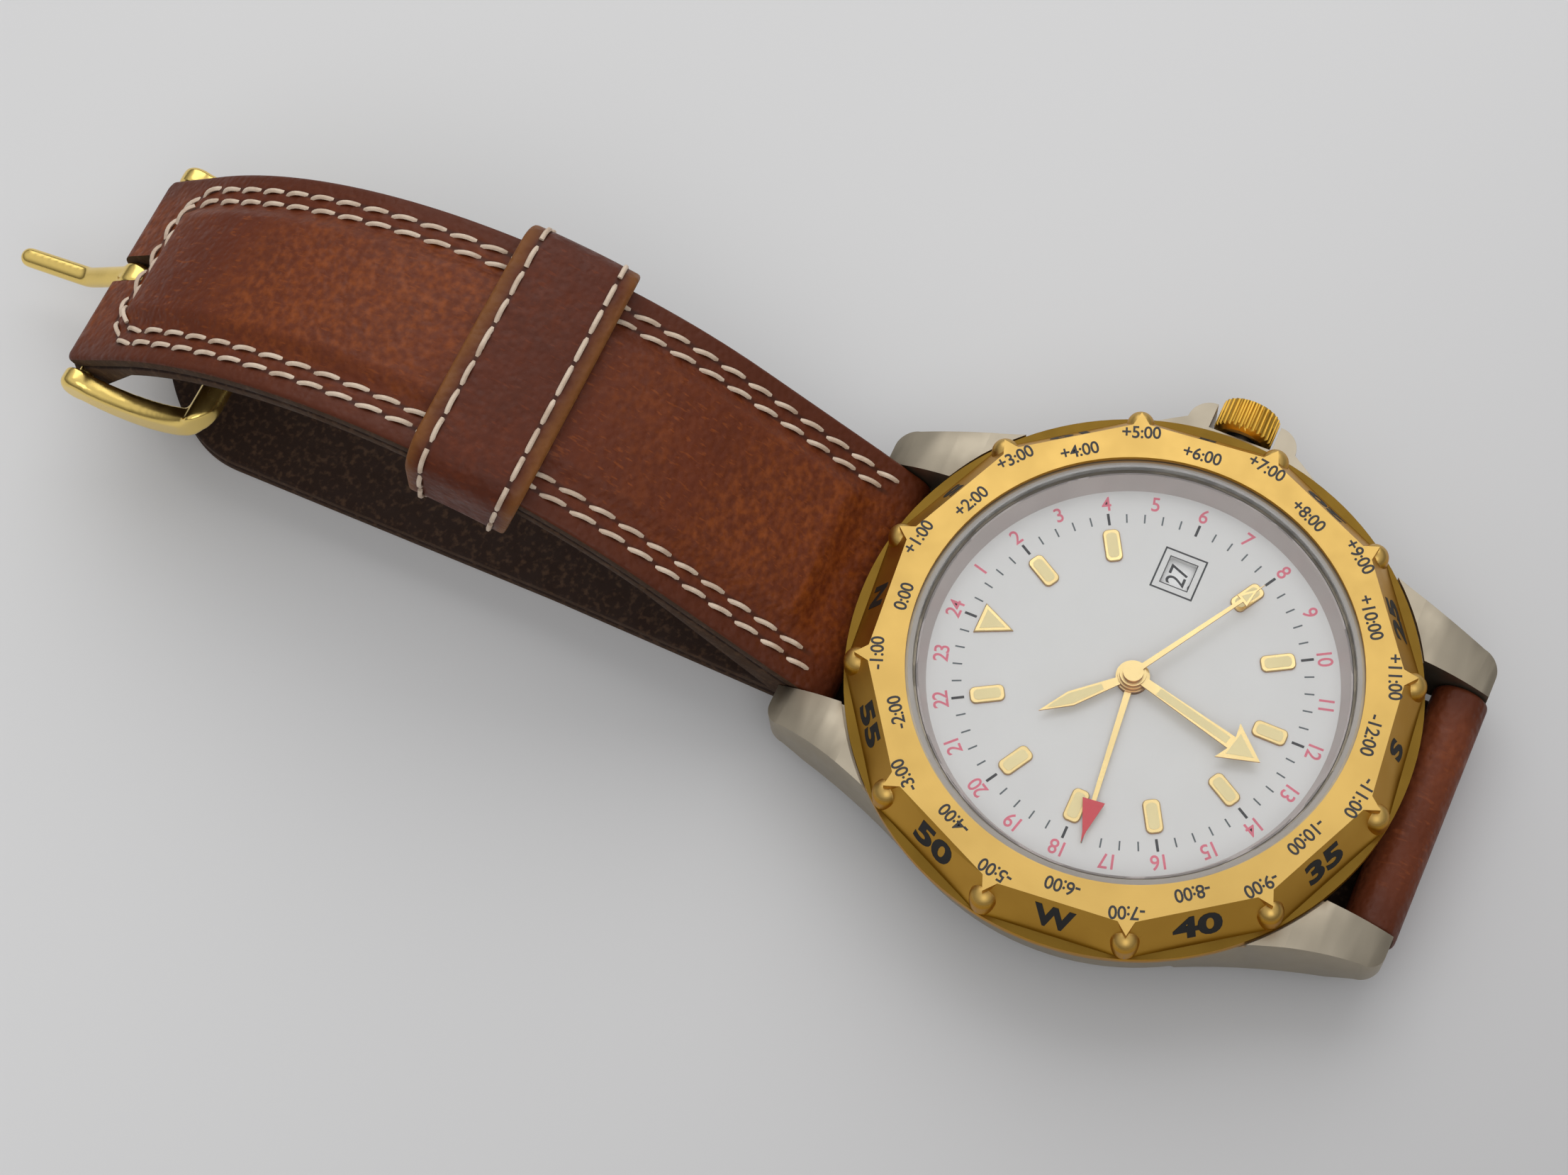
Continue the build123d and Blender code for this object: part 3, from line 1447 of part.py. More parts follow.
clamp_plane = Plane(
    origin=(battery_place[0], battery_place[1], clamp_z),
    x_dir=(cos(radians(clamp_bearing)), sin(radians(clamp_bearing)), 0),
    z_dir=(0, 0, 1),
)
with BuildPart() as battery_clamp:
    with BuildSketch(clamp_plane):
        Rectangle(2 * clamp_reach, clamp_width)
    extrude(amount=clamp_thickness)
    with BuildSketch(clamp_plane):
        for side in (-1, 1):
            with Locations((side * (clamp_reach - clamp_foot / 2), 0)):
                Rectangle(clamp_foot, clamp_width)
    extrude(amount=plate_bottom - clamp_z)
battery_clamp.part.label = "battery_clamp"
export_step(battery_clamp.part, "parts/battery_clamp.step")

with BuildPart() as circuit_board:
    with BuildSketch(Plane.XY.offset(board_z)):
        with Locations(((board_left + board_right) / 2, (board_near + board_far) / 2)):
            Rectangle(board_right - board_left, board_far - board_near)
        Circle(ledge_bore - soft_fit, mode=Mode.INTERSECT)
    extrude(amount=board_thickness)
circuit_board.part.label = "circuit_board"
export_step(circuit_board.part, "parts/circuit_board.step")

with BuildPart() as quartz_can:
    with BuildSketch(Plane.YZ.offset(-can_length / 2)):
        with Locations(((board_near + board_far) / 2, bridge_top + can_radius)):
            Circle(can_radius)
    extrude(amount=can_length)
    fillet(quartz_can.edges().group_by(Axis.X)[-1], can_radius / 2)
quartz_can.part.label = "quartz_can"
export_step(quartz_can.part, "parts/quartz_can.step")

# Wheels under the dial, each on a level of its own
with BuildPart() as cannon_pinion:
    extrude(
        toothed_disc(side_levels[0], (0, 0), cannon_pitch - mesh_gap / 2, cannon_leaves),
        amount=wheel_thickness,
    )
    extrude(
        round_outline(side_levels[0], (0, 0), cannon_radius),
        amount=dial_face + minute_hand_lift + hand_thickness + hub_rise - side_levels[0],
    )
    bore_place(side_levels[0], (0, 0), cannon_bore, dial_face)
cannon_pinion.part.label = "cannon_pinion"
export_step(cannon_pinion.part, "parts/cannon_pinion.step")

with BuildPart() as minute_wheel:
    extrude(
        toothed_disc(
            side_levels[0], minute_wheel_place, minute_wheel_pitch - mesh_gap / 2, minute_wheel_teeth
        ),
        amount=wheel_thickness,
    )
    extrude(
        toothed_disc(
            side_levels[0], minute_wheel_place, minute_leaf_pitch - mesh_gap / 2, minute_wheel_leaves
        ),
        amount=side_levels[1] + wheel_thickness - side_levels[0],
    )
    bore_place(side_levels[0], minute_wheel_place, post_radius + running_fit, plate_thickness)
minute_wheel.part.label = "minute_wheel"
export_step(minute_wheel.part, "parts/minute_wheel.step")

with BuildPart() as hour_wheel:
    extrude(
        toothed_disc(side_levels[1], (0, 0), hour_wheel_pitch - mesh_gap / 2, hour_wheel_teeth),
        amount=wheel_thickness,
    )
    extrude(
        toothed_disc(side_levels[1], (0, 0), hour_upper_pitch - mesh_gap / 2, hour_wheel_upper_teeth),
        amount=side_levels[2] + wheel_thickness - side_levels[1],
    )
    extrude(
        round_outline(side_levels[1], (0, 0), hour_tube_radius),
        amount=dial_face + hour_hand_lift + hand_thickness + hub_rise - side_levels[1],
    )
    bore_place(side_levels[1], (0, 0), hour_tube_bore, dial_face)
hour_wheel.part.label = "hour_wheel"
export_step(hour_wheel.part, "parts/hour_wheel.step")

with BuildPart() as day_wheel:
    extrude(
        toothed_disc(
            side_levels[2], day_wheel_place, day_lower_pitch - mesh_gap / 2, day_wheel_lower_teeth
        ),
        amount=wheel_thickness,
    )
    extrude(
        round_outline(side_levels[2], day_wheel_place, 2 * post_radius),
        amount=side_levels[3] - side_levels[2],
    )
    extrude(
        toothed_disc(
            side_levels[3], day_wheel_place, day_upper_pitch - mesh_gap / 2, day_wheel_upper_teeth
        ),
        amount=wheel_thickness,
    )
    bore_place(side_levels[2], day_wheel_place, post_radius + running_fit, plate_thickness)
day_wheel.part.label = "day_wheel"
export_step(day_wheel.part, "parts/day_wheel.step")

with BuildPart() as gmt_wheel:
    extrude(
        toothed_disc(side_levels[3], (0, 0), gmt_pitch - mesh_gap / 2, gmt_wheel_teeth),
        amount=wheel_thickness,
    )
    extrude(
        round_outline(side_levels[3], (0, 0), gmt_tube_radius),
        amount=dial_face + gmt_hand_lift + hand_thickness + hub_rise - side_levels[3],
    )
    bore_place(side_levels[3], (0, 0), gmt_tube_bore, dial_face)
gmt_wheel.part.label = "gmt_wheel"
export_step(gmt_wheel.part, "parts/gmt_wheel.step")

# Date ring with a notch on its inner edge for each day, and the jumper that rides there
with BuildPart() as date_ring:
    with BuildSketch(Plane.XY.offset(date_ring_z)):
        Circle(date_ring_radius)
        Circle(date_ring_bore, mode=Mode.SUBTRACT)
        with PolarLocations(date_ring_bore, date_tooth_count):
            Rectangle(2 * date_tooth_room, date_tooth_width, mode=Mode.SUBTRACT)
    extrude(amount=date_ring_thickness)
date_ring.part.label = "date_ring"
export_step(date_ring.part, "parts/date_ring.step")

jumper_tip = polar(date_ring_bore - running_fit - jumper_width / 2, jumper_bearing)
with BuildPart() as date_jumper:
    with BuildSketch(Plane.XY.offset(date_ring_z)):
        with Locations(jumper_post):
            Circle(2 * post_radius)
        with Locations(jumper_tip):
            Circle(jumper_width / 2)
        make_hull()
    extrude(amount=jumper_thickness)
date_jumper.part.label = "date_jumper"
export_step(date_jumper.part, "parts/date_jumper.step")


def hand_outline(height, angle, right_side):
    """Outline of a hand, from the points of its right side, root first and point last."""
    left_side = [(-point[0], point[1]) for point in reversed(right_side[:-1])]
    with BuildSketch(clock_plane(height, angle)) as outline:
        with BuildLine():
            Polyline(*right_side, *left_side, close=True)
        make_face()
    return outline.sketch


def hand_boss(lift, boss):
    """Round boss of a hand, before the hole for its tube."""
    return round_outline(dial_face + lift, (0, 0), boss)


with BuildPart() as hour_hand:
    extrude(
        hand_outline(
            dial_face + hour_hand_lift,
            hour_hand_angle,
            [
                (hour_hand_root / 2, hour_boss / 2),
                (hour_hand_width / 2, hour_widest_share * hour_hand_length),
                (0, hour_hand_length),
            ],
        ),
        amount=hand_thickness,
    )
    extrude(hand_boss(hour_hand_lift, hour_boss), amount=hand_thickness + hub_rise)
    bore_place(dial_face + hour_hand_lift, (0, 0), hour_tube_radius, hand_top_lift)
hour_hand.part.label = "hour_hand"
export_step(hour_hand.part, "parts/hour_hand.step")

with BuildPart() as minute_hand:
    extrude(
        hand_outline(
            dial_face + minute_hand_lift,
            minute_hand_angle,
            [
                (hand_neck_share * minute_hand_width, minute_boss / 2),
                (minute_hand_width / 2, minute_hand_length - minute_head_length),
                (minute_head_width / 2, minute_hand_length - minute_head_length - minute_barb),
                (0, minute_hand_length),
            ],
        ),
        amount=hand_thickness,
    )
    extrude(hand_boss(minute_hand_lift, minute_boss), amount=hand_thickness + hub_rise)
    bore_place(dial_face + minute_hand_lift, (0, 0), cannon_radius, hand_top_lift)
minute_hand.part.label = "minute_hand"
export_step(minute_hand.part, "parts/minute_hand.step")

with BuildPart() as second_hand:
    extrude(
        hand_outline(
            dial_face + second_hand_lift,
            second_hand_angle,
            [
                (second_hand_width / 2, second_boss / 2),
                (hand_neck_share * second_hand_width, second_hand_length - second_head_length),
                (second_head_width / 2, second_hand_length - second_head_length),
                (needle_point, second_hand_length - second_needle_length),
                (0, second_hand_length),
            ],
        ),
        amount=hand_thickness,
    )
    extrude(hand_boss(second_hand_lift, second_boss), amount=hand_thickness)
    extrude(
        round_outline(dial_face + second_hand_lift + hand_thickness, (0, 0), second_boss),
        amount=hand_top_lift - second_hand_lift - hand_thickness,
    )
    bore_place(dial_face + second_hand_lift, (0, 0), arbor_radius, hand_thickness)
second_hand.part.label = "second_hand"
export_step(second_hand.part, "parts/second_hand.step")

with BuildPart() as gmt_hand:
    extrude(
        hand_outline(
            dial_face + gmt_hand_lift,
            gmt_hand_angle,
            [
                (gmt_hand_width / 2, gmt_boss / 2),
                (hand_neck_share * gmt_hand_width, gmt_hand_length - gmt_head_length),
                (gmt_head_width / 2, gmt_hand_length - gmt_head_length - gmt_needle_width),
                (gmt_needle_width / 2, gmt_hand_length - gmt_head_length / 2),
                (0, gmt_hand_length),
            ],
        ),
        amount=hand_thickness,
    )
    extrude(hand_boss(gmt_hand_lift, gmt_boss), amount=hand_thickness + hub_rise)
    bore_place(dial_face + gmt_hand_lift, (0, 0), gmt_tube_radius, hand_top_lift)
gmt_hand.part.label = "gmt_hand"
export_step(gmt_hand.part, "parts/gmt_hand.step")
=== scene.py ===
"""Looks of the world time watch: leather, thread, metals, printing and the studio round them.

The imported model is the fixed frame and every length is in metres. Soft pieces are built here in the
space of their solids, printing lies on the faces of the nodes, and each piece rides on its body.
"""

import json
import logging
import math
from dataclasses import dataclass
from enum import Enum
from typing import Callable, Iterable, Sequence

import bmesh
import bpy
from mathutils import Matrix, Vector


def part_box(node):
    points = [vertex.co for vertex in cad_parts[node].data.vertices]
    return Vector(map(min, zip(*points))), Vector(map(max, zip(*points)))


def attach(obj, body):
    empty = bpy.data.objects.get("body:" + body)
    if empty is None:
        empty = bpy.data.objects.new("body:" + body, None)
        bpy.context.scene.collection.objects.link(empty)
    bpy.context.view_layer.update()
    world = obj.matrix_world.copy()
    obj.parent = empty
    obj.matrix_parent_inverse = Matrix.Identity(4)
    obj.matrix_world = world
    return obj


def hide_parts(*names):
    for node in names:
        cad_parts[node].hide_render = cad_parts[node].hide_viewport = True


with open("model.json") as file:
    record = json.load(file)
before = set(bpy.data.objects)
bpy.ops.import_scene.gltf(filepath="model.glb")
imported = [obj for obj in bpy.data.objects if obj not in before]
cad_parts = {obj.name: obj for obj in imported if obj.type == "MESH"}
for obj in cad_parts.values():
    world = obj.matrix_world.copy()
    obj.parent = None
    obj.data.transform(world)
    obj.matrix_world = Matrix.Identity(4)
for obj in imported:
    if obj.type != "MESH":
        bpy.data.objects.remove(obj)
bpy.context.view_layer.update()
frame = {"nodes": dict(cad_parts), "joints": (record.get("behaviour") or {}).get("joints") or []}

MM = 0.001
LAYER_GAP = 0.02 * MM
INK_THICKNESS = 0.012 * MM
CREASE = 50.0

LOG = logging.getLogger("world_time_watch")
Colour = tuple[float, float, float, float]
Triple = tuple[float, float, float]
Spot = tuple[float, float]
Path = list[Vector]
Mesh = bpy.types.Mesh
Object = bpy.types.Object
Socket = bpy.types.NodeSocket
Node = bpy.types.Node


def srgb(red: int, green: int, blue: int) -> Colour:
    """Turns a screen colour into the linear colour of a shader socket.

    Args:
        red: Screen value from 0 to 255.
        green: Screen value from 0 to 255.
        blue: Screen value from 0 to 255.

    Returns:
        The linear colour with an alpha of one.
    """
    linear = []
    for value in (red, green, blue):
        share = value / 255
        linear.append(share / 12.92 if share <= 0.04045 else ((share + 0.055) / 1.055) ** 2.4)
    return (linear[0], linear[1], linear[2], 1.0)


def dimmed(colour: Colour, share: float) -> Colour:
    """Gives a colour at a share of its light."""
    return (share * colour[0], share * colour[1], share * colour[2], 1.0)


def clamped(value: float) -> float:
    """Keeps a share between 0 and 1."""
    return min(1.0, max(0.0, value))


def smooth(value: float) -> float:
    """Eases a share from 0 to 1 with flat ends, and clamps it."""
    share = clamped(value)
    return share * share * (3 - 2 * share)


def plain(across: float, along: float) -> float:
    """Gives the relief of a plain strip, which has none."""
    return 0.0


def anchor(joint: str) -> Vector:
    """Gives the point of the frame that a joint turns about."""
    return Vector(next(j["pos_m"] for j in frame["joints"] if j["name"] == joint))


class Knot:
    """A node tree under construction, with short calls for the nodes that the finishes share."""

    def __init__(self, tree: bpy.types.NodeTree) -> None:
        """Keeps the tree that the nodes go into."""
        self.tree = tree

    def wire(self, node: Node, inputs: dict) -> Node:
        """Sets or links inputs of a node.

        Args:
            node: The node.
            inputs: Values or output sockets, by input name or index.

        Returns:
            The same node.
        """
        for key, value in inputs.items():
            if isinstance(value, Socket):
                self.tree.links.new(value, node.inputs[key])
            else:
                node.inputs[key].default_value = value
        return node

    def node(self, kind: str, inputs: dict | None = None, **settings: object) -> Node:
        """Adds a node, sets its properties, and sets or links its inputs.

        Args:
            kind: The node's type name.
            inputs: Values or output sockets, by input name or index.
            **settings: The node's own properties.

        Returns:
            The new node.
        """
        made = self.tree.nodes.new(kind)
        for key, value in settings.items():
            setattr(made, key, value)
        return self.wire(made, inputs or {})

    def place(self) -> Socket:
        """Gives the object coordinates, which are the frame's own metres."""
        return self.node("ShaderNodeTexCoord").outputs["Object"]

    def part(self, vector: Socket, axis: str) -> Socket:
        """Gives one part of a vector."""
        return self.node("ShaderNodeSeparateXYZ", {"Vector": vector}).outputs[axis]

    def vector(self, x: object = 0.0, y: object = 0.0, z: object = 0.0) -> Socket:
        """Makes a vector of its parts."""
        return self.node("ShaderNodeCombineXYZ", {0: x, 1: y, 2: z}).outputs[0]

    def scaled(self, scale: Triple, vector: Socket | None = None) -> Socket:
        """Stretches coordinates, the object's if none are given."""
        inputs = {"Vector": vector or self.place(), "Scale": scale}
        return self.node("ShaderNodeMapping", inputs).outputs["Vector"]

    def noise(self, scale: float, detail: float = 4.0, vector: Socket | None = None) -> Socket:
        """Gives soft random grain from 0 to 1, its scale in cells to the metre."""
        inputs = {"Vector": vector or self.place(), "Scale": scale, "Detail": detail}
        return self.node("ShaderNodeTexNoise", inputs).outputs["Fac"]

    def cells(self, scale: float) -> Socket:
        """Adds small cells, for pores, and gives the distance to the nearest cell's middle."""
        inputs = {"Vector": self.place(), "Scale": scale}
        return self.node("ShaderNodeTexVoronoi", inputs, feature="SMOOTH_F1").outputs["Distance"]

    def maths(self, operation: str, first: object, second: object = 0.0) -> Socket:
        """Adds a sum of two values or sockets and gives its result."""
        return self.node("ShaderNodeMath", {0: first, 1: second}, operation=operation).outputs[0]

    def product(self, *factors: object) -> Socket:
        """Multiplies values and sockets.

        Args:
            *factors: The values and sockets.

        Returns:
            The product.
        """
        result = factors[0]
        for factor in factors[1:]:
            result = self.maths("MULTIPLY", result, factor)
        return result

    def span(
        self, value: Socket, low: float, high: float, start: float = 0.0, end: float = 1.0
    ) -> Socket:
        """Maps a value's range to another range, with soft ends.

        Args:
            value: The value to map.
            low: The value that gives start.
            high: The value that gives end.
            start: The result at low.
            end: The result at high.

        Returns:
            The mapped value.
        """
        ends = {"From Min": low, "From Max": high, "To Min": start, "To Max": end}
        inputs = {"Value": value, **ends}
        mapped = self.node("ShaderNodeMapRange", inputs, interpolation_type="SMOOTHSTEP")
        return mapped.outputs["Result"]

    def blend(self, share: object, first: object, second: object) -> Socket:
        """Mixes two colours by a share and gives the result."""
        made = self.node("ShaderNodeMix", {0: share, 6: first, 7: second}, data_type="RGBA")
        return made.outputs[2]

    def bump(
        self, height: Socket, distance: float, strength: float, under: Socket | None = None
    ) -> Socket:
        """Turns a height into a surface normal.

        Args:
            height: The height from 0 to 1.
            distance: The depth of the relief in metres.
            strength: The share of the relief that shows.
            under: A normal to add it to.

        Returns:
            The normal.
        """
        inputs = {"Height": height, "Distance": distance, "Strength": strength}
        if under is not None:
            inputs["Normal"] = under
        return self.node("ShaderNodeBump", inputs).outputs["Normal"]


@dataclass(frozen=True)
class Finish:
    """A surface that can be put on pieces. Each kind paints its own nodes."""

    name: str

    def paint(self, knot: Knot, shader: Node) -> None:
        """Adds the nodes of this finish to the shader."""
        raise NotImplementedError

    def material(self) -> bpy.types.Material:
        """Gives the material of this finish, made at its first use.

        Returns:
            The material.
        """
        label = self.name + "_finish"
        found = bpy.data.materials.get(label)
        if found is not None:
            return found
        made = bpy.data.materials.new(label)
        made.use_nodes = True
        made.node_tree.nodes.clear()
        knot = Knot(made.node_tree)
        shader = knot.node("ShaderNodeBsdfPrincipled")
        self.paint(knot, shader)
        knot.node("ShaderNodeOutputMaterial", {"Surface": shader.outputs[0]})
        return made


@dataclass(frozen=True)
class Leather(Finish):
    """Waxed strap leather: pores, creases, a warm rubbed middle, dark borders, and painted shade in
    the stitch channels.
    """

    base: Colour = srgb(98, 42, 17)
    rubbed: Colour = srgb(154, 78, 24)
    border: Colour = srgb(80, 35, 15)
    mottle: Colour = srgb(78, 33, 14)
    # Painted shade: the dark colour laid along the stitch channels.
    groove_shade: Colour = srgb(40, 20, 12)
    half_width: float = 9.2 * MM
    border_width: float = 2.6 * MM
    border_fade: float = 0.8 * MM
    raggedness: float = 1.6 * MM
    rag_scale: float = 400.0
    patch_scale: float = 55.0
    speckle_scale: float = 1500.0
    mottle_scale: float = 240.0
    scratch_scale: Triple = (3600.0, 800.0, 1500.0)
    rubbed_share: float = 0.6
    scratch_share: float = 0.42
    even_share: float = 0.66
    border_share: float = 0.75
    rows: tuple[float, ...] = (1.55 * MM, 2.7 * MM)
    groove: Spot = (0.05 * MM, 0.32 * MM)
    groove_shade_share: float = 0.62
    pore_scale: float = 2000.0
    pore_depth: float = 0.1 * MM
    crease_scale: float = 700.0
    crease_depth: float = 0.18 * MM
    gloss_scale: float = 900.0
    gloss: Spot = (0.42, 0.58)

    def paint(self, knot: Knot, shader: Node) -> None:
        """Adds the leather's colour, gloss and relief.

        Args:
            knot: The tree to build in.
            shader: The shader that takes them.
        """
        off_middle = knot.maths("ABSOLUTE", self.mapped(knot, "Strip", "X"))
        colour = self.worn_colour(knot, off_middle)
        ragged = knot.product(knot.noise(self.rag_scale), self.raggedness)
        inner = self.half_width - self.border_width
        outer = self.half_width + self.border_fade
        edging = knot.span(knot.maths("ADD", off_middle, ragged), inner, outer)
        colour = knot.blend(knot.product(edging, self.border_share), colour, self.border)
        inset, sewn = self.mapped(knot, "Seam", "X"), self.mapped(knot, "Seam", "Y")
        # Painted shade: each stitch channel is darkened along its row.
        for row in self.rows:
            off_row = knot.maths("ABSOLUTE", knot.maths("SUBTRACT", inset, row))
            groove = knot.span(off_row, *self.groove, self.groove_shade_share, 0.0)
            colour = knot.blend(knot.product(groove, sewn), colour, self.groove_shade)
        creases = knot.bump(knot.noise(self.crease_scale, 5.0), self.crease_depth, 0.6)
        pores = knot.bump(knot.cells(self.pore_scale), self.pore_depth, 0.9, creases)
        gloss = knot.span(knot.noise(self.gloss_scale), 0.3, 0.7, *self.gloss)
        knot.wire(shader, {"Base Color": colour, "Roughness": gloss, "Normal": pores})
        knot.wire(shader, {"Specular IOR Level": 0.22, "Coat Weight": 0.03, "Coat Roughness": 0.3})

    def mapped(self, knot: Knot, layer: str, axis: str) -> Socket:
        """Gives one part of a map of the strip."""
        return knot.part(knot.node("ShaderNodeUVMap", uv_map=layer).outputs["UV"], axis)

    def worn_colour(self, knot: Knot, off_middle: Socket) -> Socket:
        """Gives the mottled colour with its rubbed patches and scratches.

        Args:
            knot: The tree to build in.
            off_middle: The distance from the middle line.

        Returns:
            The colour.
        """
        middle = knot.span(off_middle, 0.45 * self.half_width, self.half_width, 1.0, 0.25)
        patches = knot.span(knot.noise(self.patch_scale, 3.0), 0.4, 0.68)
        speckle = knot.span(knot.noise(self.speckle_scale, 8.0), 0.34, 0.78, 0.1, 1.0)
        rubbed = knot.product(patches, speckle, middle, self.rubbed_share)
        lines = knot.noise(1.0, 6.0, knot.scaled(self.scratch_scale))
        scratches = knot.product(knot.span(lines, 0.56, 0.7), middle, self.scratch_share)
        clouds = knot.span(knot.noise(self.mottle_scale, 6.0), 0.3, 0.75)
        even = knot.blend(self.even_share, knot.blend(clouds, self.mottle, self.base), self.base)
        return knot.blend(knot.maths("MAXIMUM", rubbed, scratches), even, self.rubbed)


@dataclass(frozen=True)
class PlainHide(Finish):
    """A cut edge, a painted edge or a flesh side: speckled and matt."""

    base: Colour = srgb(66, 46, 31)
    fleck: Colour = srgb(104, 78, 58)
    fleck_scale: float = 1900.0
    fleck_share: float = 0.6
    nap_scale: float = 3200.0
    nap_depth: float = 0.06 * MM
    gloss_scale: float = 500.0

    def paint(self, knot: Knot, shader: Node) -> None:
        """Adds the speckle and the nap.

        Args:
            knot: The tree to build in.
            shader: The shader that takes them.
        """
        grain = knot.noise(self.fleck_scale, 5.0)
        flecks = knot.product(knot.span(grain, 0.48, 0.72), self.fleck_share)
        colour = knot.blend(flecks, self.base, self.fleck)
        nap = knot.bump(knot.noise(self.nap_scale), self.nap_depth, 0.8)
        rough = knot.span(knot.noise(self.gloss_scale), 0.3, 0.7, 0.66, 0.86)
        knot.wire(shader, {"Base Color": colour, "Roughness": rough, "Normal": nap})
        knot.wire(shader, {"Specular IOR Level": 0.2})


@dataclass(frozen=True)
class Thread(Finish):
    """Waxed sewing thread with its fibres."""

    base: Colour = srgb(222, 202, 180)
    shade: Colour = srgb(178, 150, 126)
    shade_share: float = 0.6
    soil_scale: float = 700.0
    fibre_scale: float = 9000.0
    fibre_depth: float = 0.05 * MM

    def paint(self, knot: Knot, shader: Node) -> None:
        """Adds the fibres and a little soiling.

        Args:
            knot: The tree to build in.
            shader: The shader that takes them.
        """
        soiling = knot.span(knot.noise(self.soil_scale), 0.35, 0.7)
        colour = knot.blend(knot.product(soiling, self.shade_share), self.base, self.shade)
        relief = knot.bump(knot.noise(self.fibre_scale, 2.0), self.fibre_depth, 0.8)
        knot.wire(shader, {"Base Color": colour, "Roughness": 0.62, "Normal": relief})


class Grain(Enum):
    """How a metal has been worked."""

    POLISHED = "polished"
    LENGTHWISE = "lengthwise"
    TURNED = "turned"
    MATT = "matt"
    STRIPED = "striped"


@dataclass(frozen=True)
class Metal(Finish):
    """A metal or plated surface with its working marks, and wear in its gloss.

    Below a height its foot may take a darker colour, and its steep walls another, both painted shade.
    """

    base: Colour = srgb(190, 184, 172)
    grain: Grain = Grain.MATT
    roughness: float = 0.35
    depth: float = 0.004 * MM
    dull: float = 0.12
    foot_shade: Colour | None = None
    foot_height: float = 0.0
    foot_fade: float = 0.4 * MM
    wall_shade: Colour | None = None
    smear_scale: float = 330.0
    tarnish_scale: float = 140.0
    tarnish: float = 0.45
    mark_scale: float = 9000.0
    ripple_scale: float = 2600.0
    brush_scale: float = 260.0
    tool_scale: float = 1500.0

    def marks(self, knot: Knot) -> Socket:
        """Gives the height of the working marks.

        Args:
            knot: The tree to build in.

        Returns:
            The height from 0 to 1.
        """
        fine = self.mark_scale
        if self.grain is Grain.LENGTHWISE:
            return knot.noise(1.0, 3.0, knot.scaled((fine, self.brush_scale, fine)))
        if self.grain in (Grain.TURNED, Grain.STRIPED):
            place = knot.place()
            flat = knot.vector(knot.part(place, "X"), knot.part(place, "Y"))
            if self.grain is Grain.TURNED:
                radius = knot.node("ShaderNodeVectorMath", {0: flat}, operation="LENGTH")
                flat = knot.vector(radius.outputs["Value"], knot.part(place, "Z"))
            return knot.noise(1.0, 3.0, knot.scaled((fine, self.tool_scale, 1.0), flat))
        return knot.noise(self.ripple_scale if self.grain is Grain.POLISHED else fine)

    def paint(self, knot: Knot, shader: Node) -> None:
        """Adds the marks, the uneven gloss, a faint tarnish, and painted shade on the foot and the
        steep walls.

        Args:
            knot: The tree to build in.
            shader: The shader that takes them.
        """
        gloss = (self.roughness - self.dull / 2, self.roughness + self.dull / 2)
        rough = knot.span(knot.noise(self.smear_scale, 3.0), 0.3, 0.7, *gloss)
        tarnished = knot.span(knot.noise(self.tarnish_scale), 0.3, 0.7, 0.0, self.tarnish)
        colour = knot.blend(tarnished, self.base, dimmed(self.base, 0.8))
        # Painted shade: below foot_height the colour turns to the darker foot colour.
        if self.foot_shade is not None:
            top = self.foot_height + self.foot_fade
            low = knot.span(knot.part(knot.place(), "Z"), self.foot_height, top, 1.0, 0.0)
            colour = knot.blend(low, colour, self.foot_shade)
        # Painted shade: steep faces take the darker wall colour, by the direction they face.
        if self.wall_shade is not None:
            facing = knot.node("ShaderNodeNewGeometry").outputs["True Normal"]
            level = knot.span(knot.maths("ABSOLUTE", knot.part(facing, "Z")), 0.3, 0.8)
            colour = knot.blend(level, self.wall_shade, colour)
        relief = knot.bump(self.marks(knot), self.depth, 0.6)
        knot.wire(shader, {"Base Color": colour, "Roughness": rough, "Normal": relief})
        knot.wire(shader, {"Metallic": 1.0})


@dataclass(frozen=True)
class Paint(Finish):
    """Lacquer, ink, plastic or rubber: one colour with a faint unevenness."""

    base: Colour = srgb(230, 230, 228)
    roughness: float = 0.45
    cloud: float = 0.06
    cloud_scale: float = 210.0
    depth: float = 0.003 * MM
    grain_scale: float = 6000.0

    def paint(self, knot: Knot, shader: Node) -> None:
        """Adds the clouding and the fine grain.

        Args:
            knot: The tree to build in.
            shader: The shader that takes them.
        """
        clouds = knot.span(knot.noise(self.cloud_scale), 0.3, 0.7)
        colour = knot.blend(clouds, self.base, dimmed(self.base, 1 - 2 * self.cloud))
        relief = knot.bump(knot.noise(self.grain_scale), self.depth, 0.5)
        knot.wire(shader, {"Base Color": colour, "Roughness": self.roughness, "Normal": relief})


@dataclass(frozen=True)
class Backdrop(Finish):
    """Matt paper with painted shade: it darkens slowly along one direction, as the light falls off.
    """

    base: Colour = srgb(216, 216, 216)
    shade: Colour = srgb(166, 165, 166)
    direction: Triple = (-0.47, -0.88, 0.0)
    start: float = -0.06
    end: float = 0.14

    def paint(self, knot: Knot, shader: Node) -> None:
        """Adds the painted shade, a slow darkening.

        Args:
            knot: The tree to build in.
            shader: The shader that takes them.
        """
        inputs = {0: knot.place(), 1: self.direction}
        reach = knot.node("ShaderNodeVectorMath", inputs, operation="DOT_PRODUCT").outputs["Value"]
        # Painted shade: the floor darkens along the direction away from the light.
        colour = knot.blend(knot.span(reach, self.start, self.end), self.base, self.shade)
        knot.wire(shader, {"Base Color": colour, "Roughness": 0.75})


